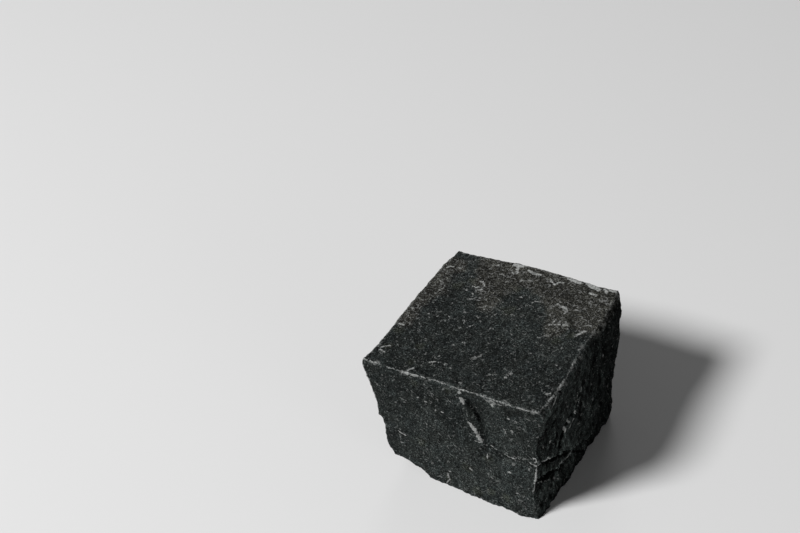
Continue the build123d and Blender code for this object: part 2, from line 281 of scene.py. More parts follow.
wrap = np.roll(ring_id, -1, axis=1)
side_quads = np.stack([ring_id[:-1], ring_id[1:], wrap[1:], wrap[:-1]], -1).reshape(-1, 4)
top_quads = np.stack([top_id[:-1, :-1], top_id[1:, :-1], top_id[1:, 1:], top_id[:-1, 1:]], -1).reshape(-1, 4)
base_quads = np.stack([base_id[:-1, :-1], base_id[:-1, 1:], base_id[1:, 1:], base_id[1:, :-1]], -1).reshape(-1, 4)
inner = np.concatenate([base_id[:-1, 0], base_id[-1, :-1], base_id[1:, -1][::-1], base_id[0, 1:][::-1]])
inner_next = np.roll(inner, -1)
o0, o1, o2 = ring_id[-1, 0::2], ring_id[-1, 1::2], np.roll(ring_id[-1, 0::2], -1)
rim_tris = np.concatenate([np.stack([o0, inner, o1], -1), np.stack([o1, inner, inner_next], -1), np.stack([o1, inner_next, o2], -1)])

all_tris = np.concatenate([side_quads[:, [0, 1, 2]], side_quads[:, [0, 2, 3]], top_quads[:, [0, 1, 2]], top_quads[:, [0, 2, 3]],
                           base_quads[:, [0, 1, 2]], base_quads[:, [0, 2, 3]], rim_tris])


def normals_of(p):
    a, b, c = p[all_tris[:, 0]], p[all_tris[:, 1]], p[all_tris[:, 2]]
    face = np.cross(b - a, c - a)
    total = np.zeros_like(p)
    for m in range(3):
        for axis in range(3):
            total[:, axis] += np.bincount(all_tris[:, m], face[:, axis], len(p))
    return total / np.maximum(np.linalg.norm(total, axis=1), 1e-12)[:, None]


count = len(points)
is_side = np.zeros(count, bool)
is_side[:first_top] = True
is_top = np.zeros(count, bool)
is_top[first_top:first_base] = True
is_base = np.zeros(count, bool)
is_base[first_base:] = True
k_of = np.full(count, -1)
k_of[:first_top] = side_k.ravel()
t_of = np.zeros(count)
t_of[:first_top] = side_t.ravel()
P0 = points.copy()
x, y, z = P0.T
normal = normals_of(P0)

# Distances in mm from the arrises, for wear.
down = HEIGHT - z                                        # below the top
from_end = np.where(is_side, np.minimum(t_of, 1 - t_of) * 150, 99.0)
grid_s, grid_t = np.meshgrid(along, along, indexing="ij")
inset = (np.minimum(np.minimum(grid_s, 1 - grid_s), np.minimum(grid_t, 1 - grid_t)) * 150)[1:-1, 1:-1].ravel()
to_top_arris = np.where(is_side, down, 99.0)
to_top_arris[first_top:first_base] = inset

face_front, face_right, face_back, face_left = [is_side & (k_of == k) for k in range(4)]


def blend_sides(values, soft=0.05):
    """A number for each side, run into its neighbours' over the arris."""
    v = np.array(values, float)
    k = np.where(k_of < 0, 0, k_of)
    here = v[k]
    before, after = v[(k - 1) % 4], v[(k + 1) % 4]
    w0 = 0.5 * step(soft, 0, t_of)
    w1 = 0.5 * step(1 - soft, 1, t_of)
    return here * (1 - w0 - w1) + before * w0 + after * w1


# ---------------------------------------------------------------------------
# Relief
# ---------------------------------------------------------------------------
warp = np.stack([fractal(P0, 22.0, 3, 0.5, s) for s in (31, 32, 33)], 1)
W = P0 + 3.5 * warp

rough = blend_sides([0.60, 1.7, 1.35, 1.3])             # how coarse each cleft face is
side_share = np.where(is_side, step(0.0, 3.0, down), 0.0)
move = np.zeros(count)

# Cleft faces: broad swells, shell hollows, hackly facets, then the break's own roughness.
lean = np.array([[1.0, 0.0, 0.0], [0.0, 1.0, 0.0], [0.0, 0.0, 0.42]])   # riven features run upright
U = W @ lean
cleft = 0.9 * fractal(W, 34.0, 3, 0.5, 1)
cleft += 1.5 * (scallops(U, 13.0, 2) - 0.35)
cleft += 0.9 * (facets(U, 6.0, 5) + 0.05)
cleft += 0.5 * (facets(U + 40.0, 3.2, 6) + 0.05)
cleft += blend_sides([0.0, 0.9, 0.7, 0.7]) * facets(U + 90.0, 11.0, 8, 0.7)
cleft += 0.35 * fractal(U, 5.0, 2, 0.6, 7)
fine = 0.24 * noise(P0, 2.3, 9) + 0.16 * noise(P0, 1.5, 10)
edge_calm = 0.25 + 0.75 * step(0, 9, from_end) * step(0, 9, z) * step(1, 10, down)
move += side_share * (rough * edge_calm * cleft + (0.4 + 0.55 * rough) * fine)

foot = step(-0.10, 0.12, noise(P0 * [1, 1, 0.3], 7.0, 35)) + 0.6 * step(-0.08, 0.10, noise(P0 * [1, 1, 0.3], 3.6, 36))
move += np.where(is_side, blend_sides([1.0, 0.7, 0.6, 0.6]) * 0.85 * foot * step(13, 1, z), 0.0)

# Dressed top: nearly flat, spalled into shallow hollows.
top_share = np.where(is_top, 1.0, 0.0)
dressed = 0.25 * fractal(P0, 45.0, 2, 0.5, 21)
dressed += 0.38 * (scallops(W * [1, 1, 0.5], 7.5, 22) - 0.38)
dressed += 0.20 * (scallops(W * [1, 1, 0.5] + 60.0, 3.6, 23) - 0.38)
dressed += 0.14 * fractal(P0, 3.2, 2, 0.6, 24)
dressed += 0.14 * noise(P0, 1.7, 26)
move += top_share * dressed * step(0, 2.0, to_top_arris)

# The plane of each face, in which lines are drawn on it: front and back x and z, right and left y and z, top x and y.
TOP = 4
FACE_MASK = [face_front, face_right, face_back, face_left, is_top | (is_side & (down < 0.01))]
FACE_AXES = [(0, 2), (1, 2), (0, 2), (1, 2), (0, 1)]


def from_line(face, line, reach, extra=3.0):
    """Vertices of a face near a line drawn on it: (which, signed distance in mm with the right-hand side of the
    walk positive, 0 to 1 along the line, mm past its ends)."""
    pts = np.asarray(line, float)
    mask = FACE_MASK[face]
    flat = P0[:, FACE_AXES[face]]
    low, high = pts.min(0) - reach - extra, pts.max(0) + reach + extra
    near = np.nonzero(mask & (flat[:, 0] > low[0]) & (flat[:, 0] < high[0]) & (flat[:, 1] > low[1]) & (flat[:, 1] < high[1]))[0]
    q = flat[near]
    lengths = np.linalg.norm(np.diff(pts, axis=0), axis=1)
    run = np.concatenate([[0], np.cumsum(lengths)])
    best = np.full(len(q), 1e9)
    side, place, past = np.zeros(len(q)), np.zeros(len(q)), np.zeros(len(q))
    for m in range(len(pts) - 1):
        d = (pts[m + 1] - pts[m]) / max(lengths[m], 1e-9)
        v = q - pts[m]
        h = v @ d
        hc = np.clip(h, 0, lengths[m])
        cross = v @ np.array([d[1], -d[0]])
        over = np.zeros(len(q))
        if m == 0:
            over = np.maximum(over, -h)
        if m == len(pts) - 2:
            over = np.maximum(over, h - lengths[m])
        dist = np.hypot(cross, h - hc)
        signed = np.where(over > 0, cross, np.sign(cross) * dist)
        closer = dist < best
        best = np.where(closer, dist, best)
        side = np.where(closer, signed, side)
        place = np.where(closer, (run[m] + hc) / run[-1], place)
        past = np.where(closer, np.maximum(over, 0), past)
    return near, side, place, past


shade = np.zeros(count)        # painted shade beside breaks and painted highlight on their lips, in stops


def drop(face, line, depth, reach, wall=1.2, fade=4.0, lip=0.0, dark=0.0, light=0.0):
    """A break in a face: along the line the right-hand side of the walk falls away by depth mm, or by a list of depths
    along it, and comes back over reach mm. With dark, shade is painted into the recess beside the wall, and with
    light, highlight is painted on the side that stays up, in stops."""
    near, d, s, past = from_line(face, line, 3 * reach)
    depth = np.atleast_1d(depth)
    deep = np.interp(s, np.linspace(0, 1, len(depth)), depth) if len(depth) > 1 else depth[0]
    wob = 0.7 * noise(P0[near], 4.0, 71) + 0.35 * noise(P0[near], 1.8, 72)
    e = d + wob
    amount = step(-wall / 2, wall / 2, e) * np.exp(-np.clip(e - wall / 2, 0, None) / reach)
    amount = amount * step(fade, 0, past) * step(3.2 * reach, 2.2 * reach, np.abs(d))
    move[near] -= deep * amount * side_fade[near]
    # painted shade in the recess beside the wall
    if dark:
        spread_of = 0.42 * reach if face == FRONT else 0.75 * reach
        inner = step(-0.2, 0.7, e) * np.exp(-(np.clip(e - 0.9, 0, None) / spread_of) ** 1.5) * step(fade, 0, past)
        shade[near] -= dark * np.minimum(deep / 2.5, 1.3) * inner
    # painted highlight on the side of the break that stays up
    if light:
        outer = step(1.0, -0.2, e) * np.exp(-(np.clip(-e, 0, None) / 3.4) ** 1.5) * step(fade, 0, past)
        shade[near] += light * np.minimum(deep / 2.5, 1.3) * outer
    if lip:
        move[near] += lip * np.exp(-(np.clip(-e, 0, None) / 1.6) ** 2) * step(-0.3, 0.3, -e) * step(fade, 0, past)


def hollow(face, at, size, deep):
    """A shell-shaped scar: (across, up) sizes in mm about a point of the face."""
    flat = P0[:, FACE_AXES[face]]
    near = np.nonzero(FACE_MASK[face] & (np.abs(flat[:, 0] - at[0]) < size[0]) & (np.abs(flat[:, 1] - at[1]) < size[1]))[0]
    wob = 0.12 * noise(P0[near], 7.0, 81) + 0.06 * noise(P0[near], 3.0, 82)
    r2 = ((flat[near, 0] - at[0]) / size[0]) ** 2 + ((flat[near, 1] - at[1]) / size[1]) ** 2
    move[near] -= deep * np.clip(1 - r2 * 1.3 + wob, 0, None) ** 0.9 * step(1.0, 0.8, np.sqrt(r2)) * side_fade[near]


side_fade = np.where(is_side, step(0.5, 4.0, down) * step(-0.5, 5.0, z), 1.0)

# Front: the long flake scar, and the crack that runs to the right-hand arris.
drop(FRONT, [(24.5, 64.0), (22.0, 74.0), (21.0, 81.0), (20.3, 86.5), (17.2, 93.4), (13.6, 100.5), (10.2, 107.5), (9.0, 114.0)],
     [0.2, 0.6, 1.0, 1.4, 1.6, 1.3, 0.8, 0.3], 8.0, 3.6, dark=0.3)
drop(FRONT, [(13.0, 85.6), (15.5, 82.8), (16.9, 81.1), (18.4, 77.7), (20.6, 73.3), (23.4, 67.5), (25.0, 62.0)][::-1],
     [0.2, 0.6, 0.8, 0.8, 0.6, 0.2], 4.0, 1.0, lip=0.35, dark=1.0)
drop(FRONT, [(28.0, 66.7), (33.8, 62.8), (40.2, 61.1), (48.6, 59.8), (55.0, 61.2), (61.0, 62.6), (66.4, 61.9), (71.0, 61.0)],
     [0.2, 0.6, 0.8, 1.0, 0.7, 0.8, 1.3, 1.2], 5.0, 0.9, lip=0.2, dark=1.2)
hollow(FRONT, (-40.0, 30.0), (16.0, 12.0), 0.8)
hollow(FRONT, (-12.0, 12.0), (14.0, 11.0), 1.0)
hollow(FRONT, (33.0, 113.0), (8.5, 7.0), 1.1)
drop(FRONT, [(-62.0, 58.0), (-48.0, 53.0), (-36.0, 47.0), (-24.0, 45.5), (-10.0, 41.0)], [0.2, 0.5, 0.6, 0.4, 0.1], 7.0, 1.2)

# Right: the hollow flake behind the front arris, its ledge, the lit ridge and the breaks below it.
hollow(RIGHT, (-56.0, 77.0), (20.0, 22.0), 2.6)
drop(RIGHT, [(-74.4, 64.0), (-75.6, 70.0), (-76.2, 76.0), (-76.0, 82.0), (-73.6, 87.0), (-69.0, 92.0), (-64.0, 99.0), (-60.0, 106.0)],
     [1.6, 2.0, 2.2, 2.2, 1.8, 1.4, 0.9, 0.3], 5.0, 1.3, dark=1.6)
drop(RIGHT, [(-76.8, 61.6), (-72.5, 63.2), (-67.5, 60.3), (-62.5, 57.4), (-54.0, 50.0), (-46.2, 43.0), (-38.0, 39.2), (-30.8, 36.3), (-24.0, 33.9), (-12.0, 31.0)],
     [2.8, 4.0, 4.6, 4.6, 4.2, 3.6, 3.0, 2.2, 1.0], 7.5, 1.5, lip=0.9, dark=1.5, light=0.5)
drop(RIGHT, [(-12.0, 84.0), (-15.5, 76.0), (-20.5, 71.5), (-26.5, 69.5), (-31.5, 66.5), (-34.6, 62.8), (-37.2, 58.8), (-39.2, 54.0), (-40.6, 48.0), (-39.0, 41.5)],
     [0.2, 0.4, 0.6, 1.0, 2.2, 3.2, 3.6, 3.4, 2.4, 1.0], 4.6, 1.6, lip=1.2, dark=0.9, light=0.8)
drop(RIGHT, [(-42.0, 18.5), (-35.9, 20.9), (-28.5, 21.2), (-22.7, 23.1), (-16.0, 22.8), (-9.5, 22.1), (-2.0, 21.2), (8.0, 18.0)],
     [0.8, 2.6, 3.4, 3.6, 3.2, 2.6, 1.2], 7.0, 1.6, lip=0.8, dark=1.4, light=0.5)
drop(RIGHT, [(-74.5, 42.0), (-66.3, 37.2), (-59.8, 34.6), (-53.5, 32.6), (-44.1, 27.6), (-37.0, 22.7)],
     [1.0, 3.0, 3.8, 3.6, 2.8, 1.0], 5.0, 1.4, lip=0.6, dark=2.0, light=0.3)
drop(RIGHT, [(-15.0, 56.0), (-14.0, 64.0), (-12.4, 72.0), (-10.9, 80.0), (-9.5, 86.0), (-6.0, 98.0), (-3.0, 106.0)],
     [0.4, 1.0, 1.3, 1.2, 1.0, 0.7, 0.2], 4.6, 1.4, lip=0.3, dark=1.8, light=0.5)
drop(RIGHT, [(1.0, 80.0), (5.5, 86.0), (7.6, 92.0), (7.8, 102.0), (12.0, 109.0)], [0.4, 2.0, 2.4, 1.6, 0.3], 5.0, 1.2, lip=0.3, dark=1.0)
drop(RIGHT, [(12.0, 26.0), (16.5, 42.0), (19.5, 56.0), (15.0, 68.0), (20.0, 82.0)], [0.6, 2.6, 3.2, 2.2, 0.6], 9.0, 1.6, lip=0.5, dark=0.9)
drop(RIGHT, [(44.0, 16.0), (48.0, 38.0), (43.0, 58.0), (47.0, 78.0), (54.0, 96.0)], [0.6, 2.4, 2.8, 2.2, 0.6], 10.0, 1.7, lip=0.5, dark=0.8)
drop(RIGHT, [(-14.0, 46.0), (-4.0, 44.0), (6.0, 47.0), (18.0, 43.0), (34.0, 46.0)], [0.4, 1.6, 1.2, 1.8, 0.4], 5.0, 1.2, lip=0.3, dark=0.8)
hollow(RIGHT, (32.0, 64.0), (15.0, 26.0), 2.0)
hollow(RIGHT, (60.0, 44.0), (14.0, 22.0), 1.8)
hollow(RIGHT, (2.0, 50.0), (13.0, 16.0), 1.6)

# Back and left: two big scars each, with the steps and ridges that splitting leaves.
hollow(BACK, (28.0, 74.0), (27.0, 32.0), 3.0)
hollow(BACK, (-34.0, 40.0), (24.0, 26.0), 2.4)
drop(BACK, [(52.0, 104.0), (49.0, 88.0), (50.0, 72.0), (44.0, 58.0), (33.0, 49.0), (20.0, 46.0)][::-1], [0.6, 2.0, 2.8, 3.0, 2.2, 0.6], 8.0, 1.2, lip=0.7, dark=1.1)
drop(BACK, [(-66.0, 70.0), (-50.0, 66.0), (-37.0, 70.0), (-22.0, 66.0), (-9.0, 60.0), (4.0, 61.0)], [0.6, 1.8, 2.4, 2.0, 1.6, 0.4], 7.0, 1.2, lip=0.6, dark=1.1)
drop(BACK, [(-18.0, 24.0), (-14.0, 40.0), (-17.0, 56.0), (-12.0, 76.0), (-16.0, 98.0)], [0.4, 1.8, 2.2, 1.6, 0.4], 8.0, 1.3, lip=0.4, dark=0.9)
drop(BACK, [(-60.0, 22.0), (-42.0, 19.0), (-25.0, 23.0), (-6.0, 18.0), (14.0, 21.0), (34.0, 17.0), (56.0, 20.0)], [0.6, 1.6, 1.0, 1.8, 1.4, 2.0, 0.8], 6.0, 1.2)
drop(BACK, [(6.0, 110.0), (-2.0, 98.0), (2.0, 86.0), (-4.0, 74.0)], [0.3, 1.4, 1.4, 0.3], 5.0, 1.0)
hollow(LEFT, (18.0, 66.0), (30.0, 26.0), 2.8)
hollow(LEFT, (-38.0, 86.0), (20.0, 20.0), 2.2)
hollow(LEFT, (48.0, 30.0), (16.0, 18.0), 1.6)
drop(LEFT, [(-8.0, 34.0), (-13.0, 48.0), (-10.0, 62.0), (-14.0, 78.0), (-9.0, 92.0), (-2.0, 102.0)], [0.5, 2.0, 2.6, 2.6, 1.8, 0.4], 8.0, 1.2, lip=0.7, dark=1.1)
drop(LEFT, [(-66.0, 64.0), (-54.0, 60.0), (-42.0, 63.0), (-30.0, 57.0), (-16.0, 50.0)], [0.6, 2.0, 2.2, 1.8, 0.5], 7.0, 1.1, lip=0.6, dark=1.1)
drop(LEFT, [(46.0, 96.0), (44.0, 82.0), (49.0, 70.0), (46.0, 56.0), (52.0, 44.0)][::-1], [0.4, 1.6, 2.2, 1.8, 0.5], 7.0, 1.2, lip=0.4, dark=0.9)
drop(LEFT, [(-58.0, 26.0), (-40.0, 29.0), (-26.0, 24.0), (-8.0, 27.0), (12.0, 22.0), (30.0, 25.0)], [0.5, 1.6, 1.2, 2.0, 1.4, 0.5], 6.0, 1.2)

points = P0 + normal * move[:, None]

# ---------------------------------------------------------------------------
# Chips knocked off the arrises: each is a short uneven flat.
# ---------------------------------------------------------------------------
chipped = np.zeros(count)


def spall(at, outward, way, long, deep, seed=0):
    """Takes everything that stands further out than deep mm below a point of an arris, over a length of it."""
    outward = np.asarray(outward, float) / np.linalg.norm(outward)
    way = np.asarray(way, float)
    way = way - outward * (way @ outward)
    way /= max(np.linalg.norm(way), 1e-9)
    near = np.nonzero(((points - at) ** 2).sum(1) < (0.62 * long + 4 * deep + 1) ** 2)[0]
    if not len(near):
        return
    v = points[near] - at
    h = v @ way
    wob = 0.45 * deep * noise(points[near], 0.3 * long + 0.8, seed) + 0.25 * deep * noise(points[near], 1.3, seed + 3)
    cup = 0.9 * deep * np.clip((2 * h / long) ** 2, 0, 4)          # the flat runs out at both ends
    cut = np.clip(v @ outward + deep - cup + wob, 0, None)
    cut = np.minimum(cut, 1.6 * deep)
    points[near] -= outward * cut[:, None]
    chipped[near] = np.maximum(chipped[near], step(0.02, 0.22, cut))


def along_line(line, s):
    line = np.asarray(line, float)
    run = np.concatenate([[0], np.cumsum(np.linalg.norm(np.diff(line, axis=0), axis=1))])
    return np.array([np.interp(s * run[-1], run, line[:, a]) for a in range(3)])


outs = [np.array(v, float) for v in ((0, -1, 0), (1, 0, 0), (0, 1, 0), (-1, 0, 0))]
for k in range(4):
    loop = points[np.take(ring_id[0], range(k * ACROSS, (k + 1) * ACROSS + 1), mode="wrap")]
    way = loop[-1] - loop[0]
    for c in range(90):
        long = rng.uniform(1.8, 7.0)
        deep = long * rng.uniform(0.05, 0.12)
        at = loop[int(rng.uniform(0.04, 0.96) * ACROSS)]
        spall(at, outs[k] + np.array([0, 0, rng.uniform(0.5, 1.5)]), way + rng.normal(size=3) * 8, long, deep, c)
for k in range(4):
    column = points[ring_id[:, k * ACROSS]]
    outward = outs[k] + outs[(k - 1) % 4]
    for c in range(30 if k < 2 else 55):
        long = rng.uniform(2.0, 6.0 if k < 2 else 11.0)
        deep = long * rng.uniform(0.05, 0.12) * (0.7 if k < 2 else 1.0)
        at = column[int(rng.uniform(0.06, 0.97) * DOWN)]
        spall(at, outward + rng.normal(size=3) * 0.28, np.array([0, 0, 1.0]) + rng.normal(size=3) * 0.15, long, deep, 100 + c)
for k in range(4):
    loop = points[np.take(ring_id[-1], range(k * ACROSS, (k + 1) * ACROSS + 1), mode="wrap")]
    way = loop[-1] - loop[0]
    for c in range(70):
        long = rng.uniform(1.8, 6.5)
        deep = long * rng.uniform(0.07, 0.17)
        at = loop[int(rng.uniform(0.05, 0.95) * ACROSS)]
        spall(at, outs[k] * rng.uniform(0.5, 1.5) + np.array([0, 0, -1.0]), way + rng.normal(size=3) * 12, long, deep, 200 + c)

# The base: rough, but its high spots are the plane z = 0.
base_part = is_base | (z < 0.01)
bed = 0.9 * step(-0.3, 0.9, fractal(P0, 16.0, 3, 0.55, 61)) + 0.35 * scallops(P0, 9.0, 62)
points[is_base, 2] = (bed[is_base] - bed[is_base].min()) * 1.0
points[:, 2] = np.maximum(points[:, 2], 0.0)
